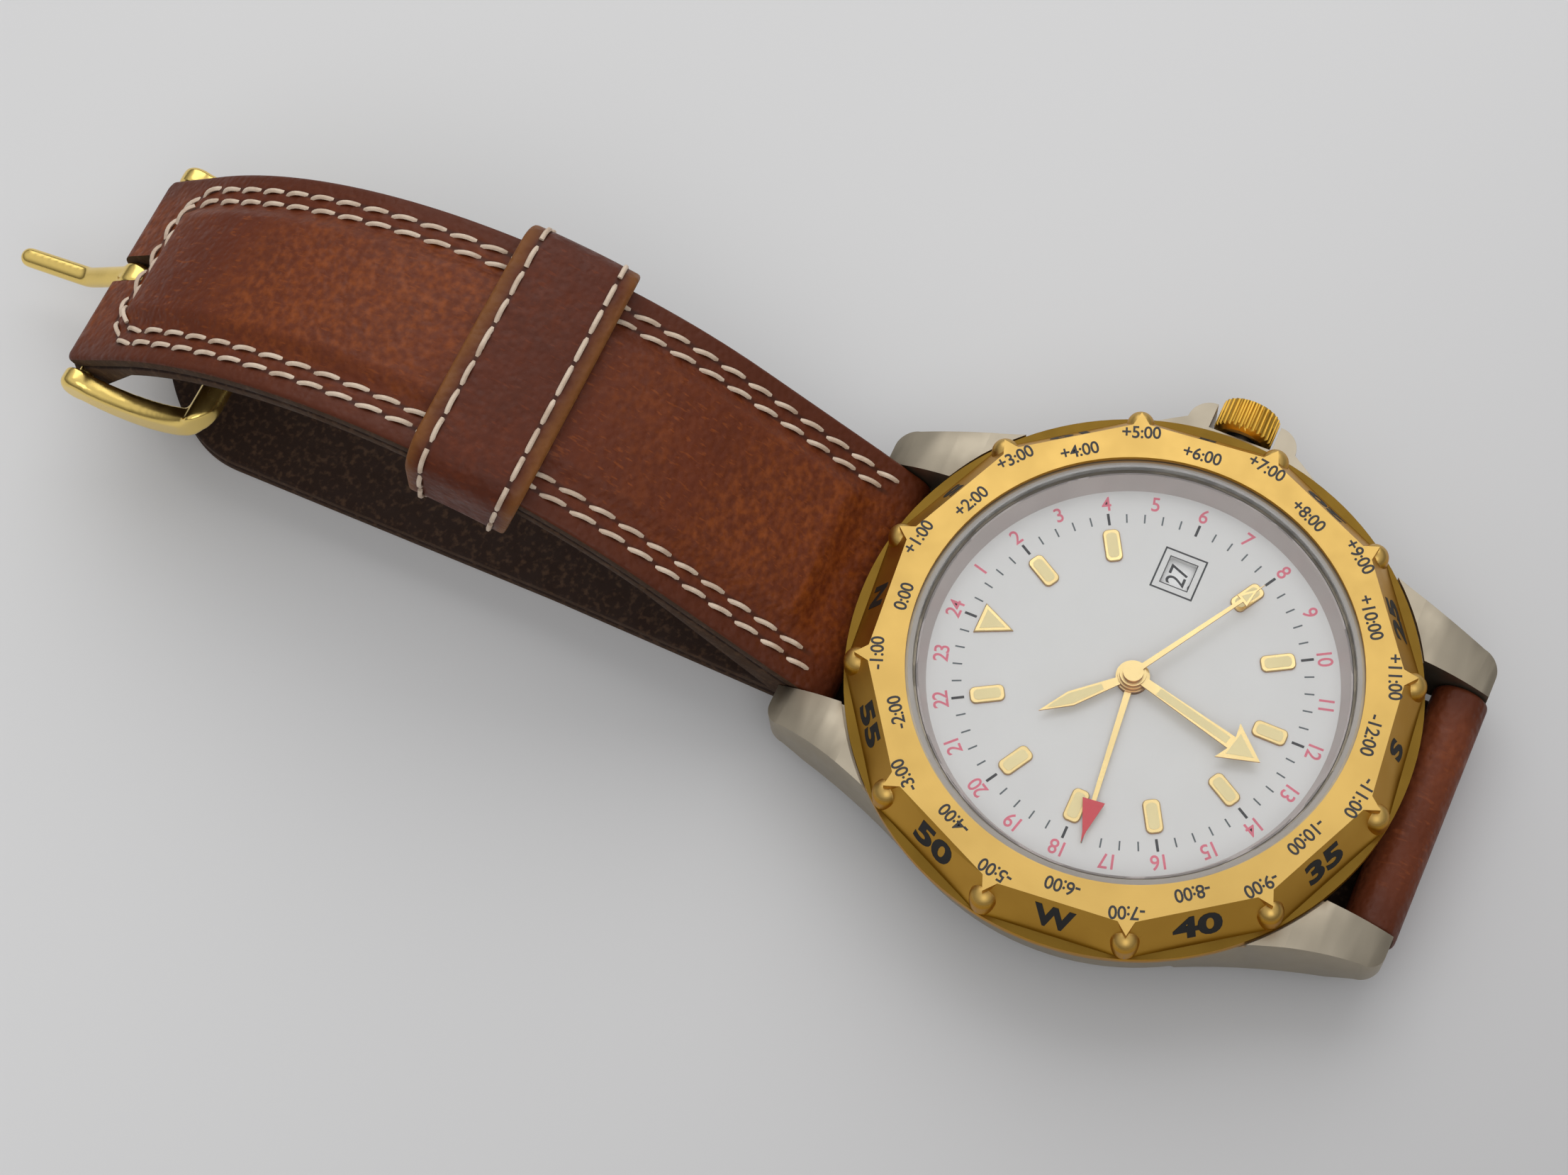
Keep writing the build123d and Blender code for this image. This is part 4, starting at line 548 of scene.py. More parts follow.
@dataclass(frozen=True)
class Crystal(Finish):
    """Clear mineral glass: almost nothing head-on, a reflection at a grazing angle."""

    base: Colour = srgb(230, 232, 234)
    clear: float = 0.03
    grazing: float = 0.55
    index: float = 1.5
    smear_scale: float = 300.0

    def paint(self, knot: Knot, shader: Node) -> None:
        """Adds the glass's see-through share and a smear in its gloss.

        Args:
            knot: The tree to build in.
            shader: The shader that takes them.
        """
        fresnel = knot.node("ShaderNodeFresnel", {"IOR": self.index}).outputs["Fac"]
        share = knot.span(fresnel, 0.04, 0.6, self.clear, self.grazing)
        smear = knot.span(knot.noise(self.smear_scale), 0.4, 0.8, 0.02, 0.06)
        knot.wire(shader, {"Base Color": self.base, "Alpha": share, "Roughness": smear})
        knot.wire(shader, {"IOR": self.index})


STRAP_LEATHER = Leather("strap_leather_waxed")
TAIL_LEATHER = Leather("tail_leather_waxed", base=srgb(104, 50, 26), rubbed=srgb(136, 70, 34))
KEEPER_LEATHER = Leather(
    "keeper_leather_waxed",
    base=srgb(86, 36, 16),
    rubbed=srgb(120, 54, 20),
    mottle=srgb(62, 27, 13),
    border=srgb(130, 82, 36),
    half_width=4.35 * MM,
    border_width=0.6 * MM,
    rows=(1.3 * MM,),
)
EDGE_PAINT = PlainHide("strap_edge_paint", fleck=srgb(96, 70, 50), fleck_share=0.5)
RAW_EDGE = PlainHide("keeper_raw_edge", base=srgb(132, 84, 36), fleck=srgb(168, 122, 66))
LINING = PlainHide("strap_lining_hide", base=srgb(46, 31, 24), fleck=srgb(92, 68, 50))
CREAM_THREAD = Thread("cream_thread")
YELLOW_GOLD = Metal("yellow_gold_polished", srgb(248, 216, 126), Grain.POLISHED, 0.22)
# The bezel's dark foot and its darker steep walls are painted shade.
SATIN_GOLD = Metal(
    "bezel_gold_satin",
    srgb(208, 172, 98),
    Grain.TURNED,
    0.4,
    foot_shade=srgb(116, 89, 34),
    foot_height=9.2 * MM,
    wall_shade=srgb(194, 141, 34),
)
CROWN_GOLD = Metal("crown_gold", srgb(204, 160, 66), Grain.POLISHED, 0.34)
# The hands' steep sides are painted shade.
HAND_GOLD = Metal("hand_gold", srgb(234, 208, 146), Grain.POLISHED, 0.3, wall_shade=srgb(176, 118, 66))
CASE_STEEL = Metal("case_steel_brushed", srgb(172, 162, 144), Grain.LENGTHWISE, 0.46)
BACK_STEEL = Metal("back_steel_turned", srgb(184, 180, 170), Grain.TURNED, 0.34)
BAR_STEEL = Metal("bar_steel", srgb(176, 176, 174), Grain.MATT, 0.32)
NICKEL = Metal("nickel_plate", srgb(196, 192, 182), Grain.STRIPED, 0.36)
BRASS = Metal("wheel_brass", srgb(212, 176, 96), Grain.TURNED, 0.3)
COPPER = Metal("coil_copper", srgb(196, 112, 66), Grain.LENGTHWISE, 0.38, 0.02 * MM)
IRON = Metal("soft_iron", srgb(150, 150, 152), Grain.LENGTHWISE, 0.42)
MAGNET = Metal("rotor_magnet", srgb(96, 96, 100), Grain.MATT, 0.42)
BATTERY_STEEL = Metal("battery_steel", srgb(206, 206, 206), Grain.TURNED, 0.26)
FLANGE_GREY = Paint("flange_grey", srgb(204, 194, 190), 0.5)
DIAL_WHITE = Paint("dial_white", srgb(226, 226, 224), 0.42, cloud=0.01)
DATE_WHITE = Paint("date_white", srgb(244, 244, 243), 0.5, cloud=0.02)
LUME = Paint("lume_cream", srgb(250, 233, 174), 0.62, cloud=0.03)
BLACK_INK = Paint("black_ink", srgb(40, 40, 44), 0.5)
PANEL_BLACK = Paint("panel_black", srgb(16, 15, 14), 0.6)
GREY_INK = Paint("grey_ink", srgb(92, 100, 104), 0.5)
RED_INK = Paint("red_ink", srgb(232, 118, 138), 0.5)
HAND_RED = Paint("hand_red", srgb(222, 62, 74), 0.4)
RUBBER = Paint("seal_rubber", srgb(34, 34, 34), 0.7)
PLASTIC = Paint("seal_plastic", srgb(180, 176, 170), 0.4)
HOLDER_PLASTIC = Paint("holder_plastic", srgb(214, 210, 198), 0.5)
BOARD_GREEN = Paint("board_green", srgb(32, 92, 62), 0.4)
GLASS = Crystal("mineral_glass")
FLOOR_PAPER = Backdrop("floor_paper")


def placed(name: str, data: bpy.types.ID) -> Object:
    """Makes an object of its data and links it to the scene.

    Args:
        name: The object's name.
        data: Its mesh, curve, lamp or camera.

    Returns:
        The object.
    """
    made = bpy.data.objects.new(name, data)
    bpy.context.scene.collection.objects.link(made)
    return made


def new_piece(name: str, mesh: Mesh, body: str) -> Object:
    """Puts a mesh into the scene as a piece that rides on a body.

    Args:
        name: The piece's name.
        mesh: Its mesh, already in place in the frame.
        body: The body that it rides on.

    Returns:
        The piece.
    """
    piece = placed(name, mesh)
    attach(piece, body)
    LOG.info("%s: %d faces on %s", name, len(mesh.polygons), body)
    return piece


def coated(mesh: Mesh, *finishes: Finish) -> Mesh:
    """Adds the materials of finishes to a mesh.

    Args:
        mesh: The mesh.
        *finishes: The finishes, in the order of its material numbers.

    Returns:
        The same mesh.
    """
    for finish in finishes:
        mesh.materials.append(finish.material())
    return mesh


def soften(mesh: Mesh, angle: float = CREASE) -> Mesh:
    """Shades a mesh smooth and keeps its sharper edges.

    Args:
        mesh: The mesh.
        angle: The angle in degrees above which an edge stays sharp.

    Returns:
        The same mesh.
    """
    mesh.shade_smooth()
    mesh.set_sharp_from_angle(angle=math.radians(angle))
    return mesh


def written(whole: bmesh.types.BMesh, name: str) -> Mesh:
    """Writes a mesh under construction to a new mesh and frees it.

    Args:
        whole: The mesh under construction.
        name: The new mesh's name.

    Returns:
        The new mesh.
    """
    made = bpy.data.meshes.new(name)
    whole.to_mesh(made)
    whole.free()
    return made


def joined(name: str, parts: Iterable[tuple[Mesh, Matrix]]) -> Mesh:
    """Joins meshes, each moved to its place, into one.

    Args:
        name: The new mesh's name.
        parts: The meshes and their places. The meshes are removed.

    Returns:
        The joined mesh.
    """
    whole = bmesh.new()
    for mesh, place in parts:
        mesh.transform(place)
        whole.from_mesh(mesh)
        bpy.data.meshes.remove(mesh)
    return written(whole, name)


def baked(holder: Object, name: str) -> Mesh:
    """Gives the plain mesh of an object with its modifiers, and removes the object.

    Args:
        holder: The object.
        name: The mesh's name.

    Returns:
        The mesh.
    """
    bpy.context.view_layer.update()
    shown = holder.evaluated_get(bpy.context.evaluated_depsgraph_get())
    mesh = bpy.data.meshes.new_from_object(shown)
    mesh.name = name
    holder.modifiers.clear()
    bpy.data.objects.remove(holder)
    return mesh


def new_tree(name: str, inputs: dict[str, str]) -> bpy.types.NodeTree:
    """Starts a geometry tree, with geometry going in and out.

    Args:
        name: Its name.
        inputs: The kinds of its other inputs, such as Float, by name.

    Returns:
        The tree.
    """
    tree = bpy.data.node_groups.new(name, "GeometryNodeTree")
    for label, kind in {"Geometry": "Geometry", **inputs}.items():
        tree.interface.new_socket(label, in_out="INPUT", socket_type="NodeSocket" + kind)
    tree.interface.new_socket("Geometry", in_out="OUTPUT", socket_type="NodeSocketGeometry")
    return tree


def end_tree(knot: Knot, geometry: Socket, finish: Finish) -> None:
    """Ends a geometry tree: makes its instances real and puts the finish on them.

    Args:
        knot: The tree.
        geometry: What it has made.
        finish: The finish.
    """
    real = knot.node("GeometryNodeRealizeInstances", {"Geometry": geometry}).outputs[0]
    inputs = {"Geometry": real, "Material": finish.material()}
    knot.node("NodeGroupOutput", {0: knot.node("GeometryNodeSetMaterial", inputs).outputs[0]})


def grown(name: str, seed: Mesh, tree: bpy.types.NodeTree, values: dict[str, object]) -> Mesh:
    """Runs a geometry tree on a mesh.

    Args:
        name: The new mesh's name.
        seed: The mesh that it starts from. It is removed.
        tree: The tree.
        values: Its inputs by name.

    Returns:
        The result as a plain mesh.
    """
    holder = placed(name + "_seed", seed)
    modifier = holder.modifiers.new("grown", "NODES")
    modifier.node_group = tree
    for item in tree.interface.items_tree:
        if item.in_out == "INPUT" and item.name in values:
            modifier[item.identifier] = values[item.name]
    made = baked(holder, name)
    bpy.data.meshes.remove(seed)
    return made


@dataclass
class Lettering:
    """Plain printed characters, made as thin solids and laid on a face."""

    size: float
    thickness: float = INK_THICKNESS
    weight: float = 0.0
    stretch: float = 1.0
    spacing: float = 1.0

    def mesh(self, text: str) -> Mesh:
        """Makes one word, centred on the origin and facing up.

        Args:
            text: The characters.

        Returns:
            The word's mesh.
        """
        curve = bpy.data.curves.new("lettering", "FONT")
        curve.body = text
        curve.size = self.size
        curve.align_x = "CENTER"
        curve.align_y = "CENTER"
        curve.extrude = self.thickness / 2
        curve.offset = self.weight * self.size
        curve.space_character = self.spacing
        curve.resolution_u = 4
        mesh = baked(placed("lettering", curve), "lettering")
        mesh.transform(Matrix.Diagonal((self.stretch, 1.0, 1.0, 1.0)))
        bpy.data.curves.remove(curve)
        return mesh


def print_words(
    name: str, body: str, finish: Finish, words: Iterable[tuple[Lettering, str, Matrix]]
) -> None:
    """Prints words, each given by its lettering, its characters and its place, as one piece."""
    mesh = joined(name, [(writer.mesh(text), place) for writer, text, place in words])
    new_piece(name, coated(mesh, finish), body)


def clock_place(radius: float, angle: float, height: float, turn: float = 0.0) -> Matrix:
    """Gives the place of something laid flat at a clock angle, its top pointing outwards.

    Args:
        radius: Distance from the centre.
        angle: Clock angle in degrees, clockwise from 12.
        height: Height in the frame.
        turn: Further turn in degrees, clockwise.

    Returns:
        The place as a matrix.
    """
    swing = Matrix.Rotation(-math.radians(angle), 4, "Z")
    own = Matrix.Rotation(-math.radians(turn), 4, "Z")
    return Matrix.Translation((0, 0, height)) @ swing @ Matrix.Translation((0, radius, 0)) @ own


@dataclass
class StitchTree:
    """Geometry nodes that sew a row of stitches along a seam line."""

    pitch: float = 2.5 * MM
    length: float = 1.95 * MM
    thread_radius: float = 0.19 * MM
    rise: float = 0.3 * MM
    sink: float = 0.12 * MM
    slant: float = 8.0
    sides: int = 6
    crease: float = 60.0

    def stitch(self, knot: Knot, given: bpy.types.bpy_prop_collection) -> Socket:
        """Makes one stitch: thread that rises out of the leather and dips back in.

        Args:
            knot: The tree to build in.
            given: The tree's inputs.

        Returns:
            The stitch along X.
        """
        down = knot.product(given["Sink"], -1.0)
        ends = {
            "Resolution": self.sides,
            "Start": knot.vector(knot.product(given["Length"], -0.5), z=down),
            "Middle": knot.vector(z=knot.product(given["Rise"], 2.0)),
            "End": knot.vector(knot.product(given["Length"], 0.5), z=down),
        }
        bow = knot.node("GeometryNodeCurveQuadraticBezier", ends).outputs[0]
        round_size = {"Resolution": self.sides, "Radius": given["Thread Radius"]}
        ring = knot.node("GeometryNodeCurvePrimitiveCircle", round_size).outputs[0]
        inputs = {"Curve": bow, "Profile Curve": ring, "Fill Caps": True}
        return knot.node("GeometryNodeCurveToMesh", inputs).outputs[0]

    def build(self, finish: Finish) -> bpy.types.NodeTree:
        """Makes the tree with its named inputs.

        Args:
            finish: The thread's finish.

        Returns:
            The tree.
        """
        tree = new_tree("stitches_" + finish.name, {label: "Float" for label in self.settings()})
        knot = Knot(tree)
        given = knot.node("NodeGroupInput").outputs
        seam = knot.node("GeometryNodeMeshToCurve", {"Mesh": given["Geometry"]}).outputs[0]
        inputs = {"Curve": seam, "Length": given["Pitch"]}
        holes = knot.node("GeometryNodeResampleCurve", inputs, mode="LENGTH").outputs[0]
        tangent = knot.node("GeometryNodeInputTangent").outputs[0]
        up = knot.node("GeometryNodeInputNamedAttribute", {"Name": "up"}, data_type="FLOAT_VECTOR")
        align = "FunctionNodeAlignRotationToVector"
        along = knot.node(align, {"Vector": tangent}, axis="X").outputs[0]
        inputs = {"Rotation": along, "Vector": up.outputs[0]}
        facing = knot.node(align, inputs, axis="Z", pivot_axis="X").outputs[0]
        inputs = {"Axis": (0, 0, 1), "Angle": given["Slant"]}
        slant = knot.node("FunctionNodeAxisAngleToRotation", inputs).outputs[0]
        inputs = {"Rotation": facing, "Rotate By": slant}
        turned = knot.node("FunctionNodeRotateRotation", inputs, rotation_space="LOCAL").outputs[0]
        inputs = {"Points": holes, "Instance": self.stitch(knot, given), "Rotation": turned}
        end_tree(knot, knot.node("GeometryNodeInstanceOnPoints", inputs).outputs[0], finish)
        return tree

    def settings(self) -> dict[str, float]:
        """Gives the tree's inputs.

        Returns:
            The values by name.
        """
        return {
            "Pitch": self.pitch,
            "Length": self.length,
            "Thread Radius": self.thread_radius,
            "Rise": self.rise,
            "Sink": self.sink,
            "Slant": math.radians(self.slant),
        }

    def sew(self, name: str, seams: list[tuple[Path, Path]], body: str, finish: Finish) -> None:
        """Sews every seam of a piece and joins the stitches.

        Args:
            name: The piece's name.
            seams: For each row its points, and the outward direction at each.
            body: The body that the stitches ride on.
            finish: The thread's finish.
        """
        points = [tuple(point) for path, _ in seams for point in path]
        ups = [part for _, directions in seams for up in directions for part in up]
        edges: list[tuple[int, int]] = []
        first = 0
        for path, _ in seams:
            edges += [(first + index, first + index + 1) for index in range(len(path) - 1)]
            first += len(path)
        mesh = bpy.data.meshes.new(name + "_seam")
        mesh.from_pydata(points, edges, [])
        mesh.attributes.new("up", "FLOAT_VECTOR", "POINT").data.foreach_set("vector", ups)
        sewn = grown(name, mesh, self.build(finish), self.settings())
        new_piece(name, soften(sewn, self.crease), body)


@dataclass
class Station:
    """A line across a strip: the middle of its face and of its back, and its place along."""

    face: Vector
    back: Vector
    along: float

    def outward(self) -> Vector:
        """Gives the direction from the back to the face."""
        return (self.face - self.back).normalized()


@dataclass
class Strip:
    """A strip of leather with rounded edges, swept along stations.

    A place on it is given by the station, the distance across and the depth below its face.
    """

    stations: list[Station]
    half_width: Callable[[float], float]
    relief: Callable[[float, float], float] = plain
    edge: float = 0.35 * MM
    columns: int = 72
    closed: bool = False
    bend: Callable[[Vector, float], Vector] | None = None
    sewn: Callable[[float, float], Spot] | None = None
    rim_turns: Triple = (90.0, 60.0, 30.0)
    seam_step: float = 0.4 * MM

    def point(self, station: Station, across: float, depth: float) -> Vector:
        """Gives a point of the strip.

        Args:
            station: The line across the strip.
            across: Distance from the middle line.
            depth: Depth below the face, negative above it.

        Returns:
            The point in the frame.
        """
        place = station.face - station.outward() * depth
        if self.bend is not None:
            return self.bend(place, across)
        return Vector((across, place.y, place.z))

    def ring(self, station: Station) -> list[Spot]:
        """Gives the outline of one section as places across and depths, face first.

        Args:
            station: The line across the strip.

        Returns:
            The outline, from the left edge over the face and back under it.
        """
        width = self.half_width(station.face.y)
        thick = (station.face - station.back).length
        edge = min(self.edge, 0.45 * thick, 0.45 * width)
        turns = [math.radians(angle) for angle in self.rim_turns]
        rim = [(width - edge + edge * math.sin(t), edge * (1 - math.cos(t))) for t in turns]
        count = self.columns
        flat = [(2 * index / count - 1) * (width - edge) for index in range(count + 1)]
        top = [(-place, depth) for place, depth in rim]
        top += [(place, -self.relief(place, station.along)) for place in flat]
        top += [(place, depth) for place, depth in reversed(rim)]
        under = [(place, thick - depth) for place, depth in rim]
        under += [(place, thick) for place in reversed(flat)]
        under += [(-place, thick - depth) for place, depth in reversed(rim)]
        return top + under

    def quads(self, size: int) -> Iterable[tuple[tuple[int, int, int, int], int]]:
        """Gives the faces of the strip.

        Args:
            size: How many points a section has.

        Returns:
            For each face its four points, and its material: face 0, edges 1, back 2.
        """
        half = size // 2
        count = len(self.stations)
        for row in range(count if self.closed else count - 1):
            low, high = row * size, (row + 1) % count * size
            for index in range(size):
                beside = (index + 1) % size
                is_edge = index in (0, half - 2, half - 1, size - 1)
                number = 1 if is_edge else 0 if index < half else 2
                yield (low + index, low + beside, high + beside, high + index), number
        for row in () if self.closed else (0, count - 1):
            low, high = row * size, (row + 1) * size
            for index in range(half - 1):
                yield (low + index, low + index + 1, high - 2 - index, high - 1 - index), 1

    def mesh(self, name: str) -> Mesh:
        """Builds the closed strip with its maps and its three material numbers.

        Args:
            name: The mesh's name.

        Returns:
            The mesh: face 0, edges 1, back 2.
        """
        whole = bmesh.new()
        corners: list[bmesh.types.BMVert] = []
        marks: list[Spot] = []
        seams: list[Spot] = []
        for station in self.stations:
            ring = self.ring(station)
            for across, depth in ring:
                corners.append(whole.verts.new(self.point(station, across, depth)))
                marks.append((across, station.along))
                inset = self.half_width(station.face.y) - abs(across)
                seams.append(self.sewn(across, station.along) if self.sewn else (inset, 1.0))
        layer = whole.loops.layers.uv.new("Strip")
        sewing = whole.loops.layers.uv.new("Seam")
        for places, number in self.quads(len(ring)):
            face = whole.faces.new([corners[place] for place in places])
            face.material_index = number
            for loop, place in zip(face.loops, places):
                loop[layer].uv = marks[place]
                loop[sewing].uv = seams[place]
        bmesh.ops.recalc_face_normals(whole, faces=whole.faces)
        return written(whole, name)

    def seam(self, line: Sequence[Spot], lift: float) -> tuple[Path, Path]:
        """Lays a seam line, given as places across and along, on the face of the strip.

        Args:
            line: The corners of the line as (across, along).
            lift: Height above the face, or a depth if negative.

        Returns:
            The points and the outward direction at each.
        """
        spots = []
        for (x0, s0), (x1, s1) in zip(line, line[1:]):
            pieces = max(1, round(math.hypot(x1 - x0, s1 - s0) / self.seam_step))
            for share in (index / pieces for index in range(pieces)):
                spots.append((x0 + share * (x1 - x0), s0 + share * (s1 - s0)))
        spots.append(line[-1])
        laid = [self.lay(across, along, lift) for across, along in spots]
        return [point for point, _ in laid], [up for _, up in laid]

    def lay(self, across: float, along: float, lift: float) -> tuple[Vector, Vector]:
        """Finds a place on the face.

        Args:
            across: Place across the strip.
            along: Place along the strip.
            lift: Height above the face.

        Returns:
            Its point and its outward direction.
        """
        last = len(self.stations) - 1
        after = max(1, next((n for n, s in enumerate(self.stations) if s.along >= along), last))
        first, second = self.stations[after - 1], self.stations[after]
        run = second.along - first.along
        share = 0.0 if run == 0 else (along - first.along) / run
        face = first.face.lerp(second.face, share)
        between = Station(face, first.back.lerp(second.back, share), along)
        height = self.relief(across, along) + lift
        point = self.point(between, across, -height)
        return point, self.point(between, across, -height - MM) - point


def strap_layer(
    name: str, strip: Strip, finishes: Sequence[Finish], cutters: list[Mesh], body: str
) -> Object:
    """Makes one layer of a strap, with finishes for its face, edges and back, and cuts it."""
    mesh = coated(strip.mesh(name), *finishes)
    return new_piece(name, soften(notched(mesh, cutters)), body)


def heading(angle: float) -> Vector:
    """Gives the direction of the side view at an angle in degrees, counted from +Y up."""
    turn = math.radians(angle)
    return Vector((0.0, math.cos(turn), math.sin(turn)))


def run_of(
    start: Vector, angle: float, length: float, depths: Spot, along: float, steps: int
) -> list[Station]:
    """Makes the stations of a straight run.

    Args:
        start: The line that depths are counted from, at the run's start.
        angle: The run's direction.
        length: Its length.
        depths: Depths of the face and of the back.
        along: Distance of its start along the strip.
        steps: How many stations.

    Returns:
        The stations, without the last end.
    """
    out = heading(angle + 90.0)
    outer, inner = depths
    made = []
    for index in range(steps):
        reach = length * index / steps
        line = start + heading(angle) * reach
        made.append(Station(line - out * outer, line - out * inner, along + reach))
    return made


def arc_of(
    centre: Vector, bearings: Spot, radii: Spot, along: float, steps: int
) -> list[Station]:
    """Makes the stations of an arc, whose face may be on its outside or its inside.

    Args:
        centre: The arc's centre.
        bearings: Bearings of its start and of its end from the centre.
        radii: Radii of the face and of the back.
        along: Distance of its start along the strip.
        steps: How many stations.

    Returns:
        The stations, without the last end.
    """
    first, last = bearings
    outer, inner = radii
    made = []
    for index in range(steps):
        bearing = first + (last - first) * index / steps
        out = heading(bearing)
        reach = math.radians(abs(bearing - first)) * outer
        made.append(Station(centre + out * outer, centre + out * inner, along + reach))
    return made


@dataclass
class StrapHalf:
    """What both halves of the strap share."""

    body: str
    leather: float = 1.2 * MM
    lining: float = 1.0 * MM
    loop_radius: float = 2.1 * MM
    bar_bore: float = 0.85 * MM
    lug_width: float = 19.8 * MM
    outer_row: float = 1.55 * MM
    row_gap: float = 1.15 * MM
    lining_edge: float = 0.2 * MM

    def started(self, along: float, start: float) -> float:
        """Gives 1 where the stitch rows have started and 0 before them."""
        return smooth((along - start + MM) / MM)


@dataclass
class BuckleStrap(StrapHalf):
    """The padded half of the strap that arches up and carries the buckle."""

    body: str = "strap_12"
    rise_angle: float = 36.0
    lead: float = 15.5 * MM
    fall_angle: float = 38.0
    fall: float = 6.5 * MM
    arch_radius: float = 39.0 * MM
    fold_radius: float = 1.9 * MM
    pin_radius: float = 0.62 * MM
    end_width: float = 17.4 * MM
    pad_rise: float = 0.75 * MM
    pad_border: float = 2.9 * MM
    pad_fade: float = 1.7 * MM
    pad_end: float = 6.4 * MM
    pad_start_fade: float = 3.0 * MM
    crown_rise: float = 0.12 * MM
    crown_fade: float = 5.0 * MM
    channel_width: float = 0.3 * MM
    channel_depth: float = 0.07 * MM
    row_end: float = 5.6 * MM
    row_corner: float = 2.3 * MM
    corner_shrink: float = 0.22
    row_start: float = 2.6 * MM
    slot_width: float = 2.4 * MM
    slot_depth: float = 1.85 * MM
    slot_height: float = 16.0 * MM
    loop_steps: int = 22
    face_steps: tuple[int, int, int] = (42, 136, 20)
    lining_steps: tuple[int, int, int] = (20, 90, 12)
    lining_columns: int = 24

    def __post_init__(self) -> None:
        """Works out the places of the side view from the frame's joints."""
        self.bar = anchor("strap_12_lift")
        self.centre = anchor("keeper_slide")
        self.pin = anchor("buckle_frame_swing")
        self.arch = math.radians(self.rise_angle + self.fall_angle) * self.arch_radius
        self.length = self.lead + self.arch + self.fall
        self.far_end = self.pin.y + self.fold_radius
        self.up, self.down = 90.0 + self.rise_angle, 90.0 - self.fall_angle
        self.strip = Strip(self.face_stations(), self.half_width, self.relief, sewn=self.sewn)

    def half_width(self, place: float) -> float:
        """Gives half the strap's width at a place along +Y.

        Args:
            place: The place in the frame.

        Returns:
            Half the width there.
        """
        start = self.bar.y + self.loop_radius
        share = clamped((place - start) / (self.far_end - start))
        width = self.lug_width + share * (self.end_width - self.lug_width)
        nose = max(0.0, place - self.far_end + self.leather / 2)
        return width / 2 - nose

    def side_gap(self, across: float, along: float) -> float:
        """Gives the distance from a place to the strap's nearer side."""
        share = clamped(along / self.length)
        return (self.lug_width + share * (self.end_width - self.lug_width)) / 2 - abs(across)

    def relief(self, across: float, along: float) -> float:
        """Gives the height of the padding and the stitch channels over the face.

        Args:
            across: Place across the strap.
            along: Place along the strap.

        Returns:
            The height over the plain face.
        """
        side = self.side_gap(across, along)
        end = self.length + self.fold_radius - along - self.pad_end + self.pad_border
        corner = (side + end - self.row_corner) / math.sqrt(2) + self.pad_border / 2
        reach = min(side, end, corner) - self.pad_border
        crown = self.crown_rise * smooth(reach / self.crown_fade)
        pad = self.pad_rise * smooth(reach / self.pad_fade) + crown
        pad *= smooth((along - self.row_start) / self.pad_start_fade)
        inset, live = self.sewn(across, along)
        channel = 0.0
        for row in (self.outer_row, self.outer_row + self.row_gap):
            channel += math.exp(-(((inset - row) / self.channel_width) ** 2))
        return pad - self.channel_depth * channel * live

    def sewn(self, across: float, along: float) -> Spot:
        """Gives how far a place lies inside the line that the stitch rows follow.

        Args:
            across: Place across the strap.
            along: Place along the strap.

        Returns:
            The inset, and 1 along the rows or 0 before them.
        """
        side = self.side_gap(across, along)
        end = self.length + self.fold_radius - self.row_end + self.outer_row - along
        corner = (side + end - 2 * self.outer_row - self.row_corner) / math.sqrt(2)
        inset = min(side, end, corner + self.outer_row)
        return inset, self.started(along, self.row_start)

    def face_stations(self) -> list[Station]:
        """Gives the stations of the leather.

        Returns:
            The stations, from under the spring bar to under the pin.
        """
        up, down = self.up, self.down
        lead_steps, arch_steps, fall_steps = self.face_steps
        loop = (self.loop_radius, self.bar_bore)
        thick = (0.0, self.leather)
        arch = (self.arch_radius, self.arch_radius - self.leather)
        fold = (self.fold_radius, self.pin_radius)
        begin = self.bar + heading(up) * self.loop_radius
        end = self.centre + heading(down) * self.arch_radius
        stations = arc_of(
            self.bar, (up + 180.0, up), loop, -math.pi * self.loop_radius, self.loop_steps
        )
        stations += run_of(begin, self.rise_angle, self.lead, thick, 0.0, lead_steps)
        stations += arc_of(self.centre, (up, down), arch, self.lead, arch_steps)
        stations += run_of(
            end, -self.fall_angle, self.fall, thick, self.lead + self.arch, fall_steps
        )
        stations += arc_of(self.pin, (down, down - 180.0), fold, self.length, self.loop_steps)
        return stations

    def lining_stations(self) -> list[Station]:
        """Gives the stations of the lining.

        Returns:
            The stations, with the wedges at both ends.
        """
        lead_steps, arch_steps, fall_steps = self.lining_steps
        shallow, deep = self.leather + LAYER_GAP, self.leather + self.lining
        begin = self.bar + heading(self.up) * self.loop_radius
        lead = run_of(begin, self.rise_angle, self.lead, (shallow, deep), 0.0, lead_steps)
        for index, station in enumerate(lead):
            wedge = (2 * self.loop_radius - deep) * (1 - index / len(lead))
            station.back -= station.outward() * wedge
            station.face -= station.outward() * wedge * 0.02
        radii = (self.arch_radius - shallow, self.arch_radius - deep)
        arch = arc_of(self.centre, (self.up, self.down), radii, self.lead, arch_steps)
        end = self.centre + heading(self.down) * self.arch_radius
        fall = run_of(
            end, -self.fall_angle, self.fall, (shallow, deep), self.lead + self.arch, fall_steps
        )
        for index, station in enumerate(fall):
            wedge = (2 * self.fold_radius - deep) * index / len(fall)
            station.back -= station.outward() * wedge
        return lead + arch + fall

    def rows(self) -> list[list[Spot]]:
        """Gives the two stitch rows.

        Returns:
            The rows as lines across and along, each round the buckle end.
        """
        rows = []
        for number in (0, 1):
            inset = self.outer_row + number * self.row_gap
            end = self.length + self.fold_radius - self.row_end - number * self.row_gap
            corner = self.row_corner * (1 - self.corner_shrink * number)
            start = self.row_start + number * StitchTree.pitch / 2
            near = self.lug_width / 2 - inset
            far = self.end_width / 2 - inset
            side = [(near, start), (far, end - corner), (far - corner, end)]
            rows.append([(-x, s) for x, s in side] + list(reversed(side)))
        return rows

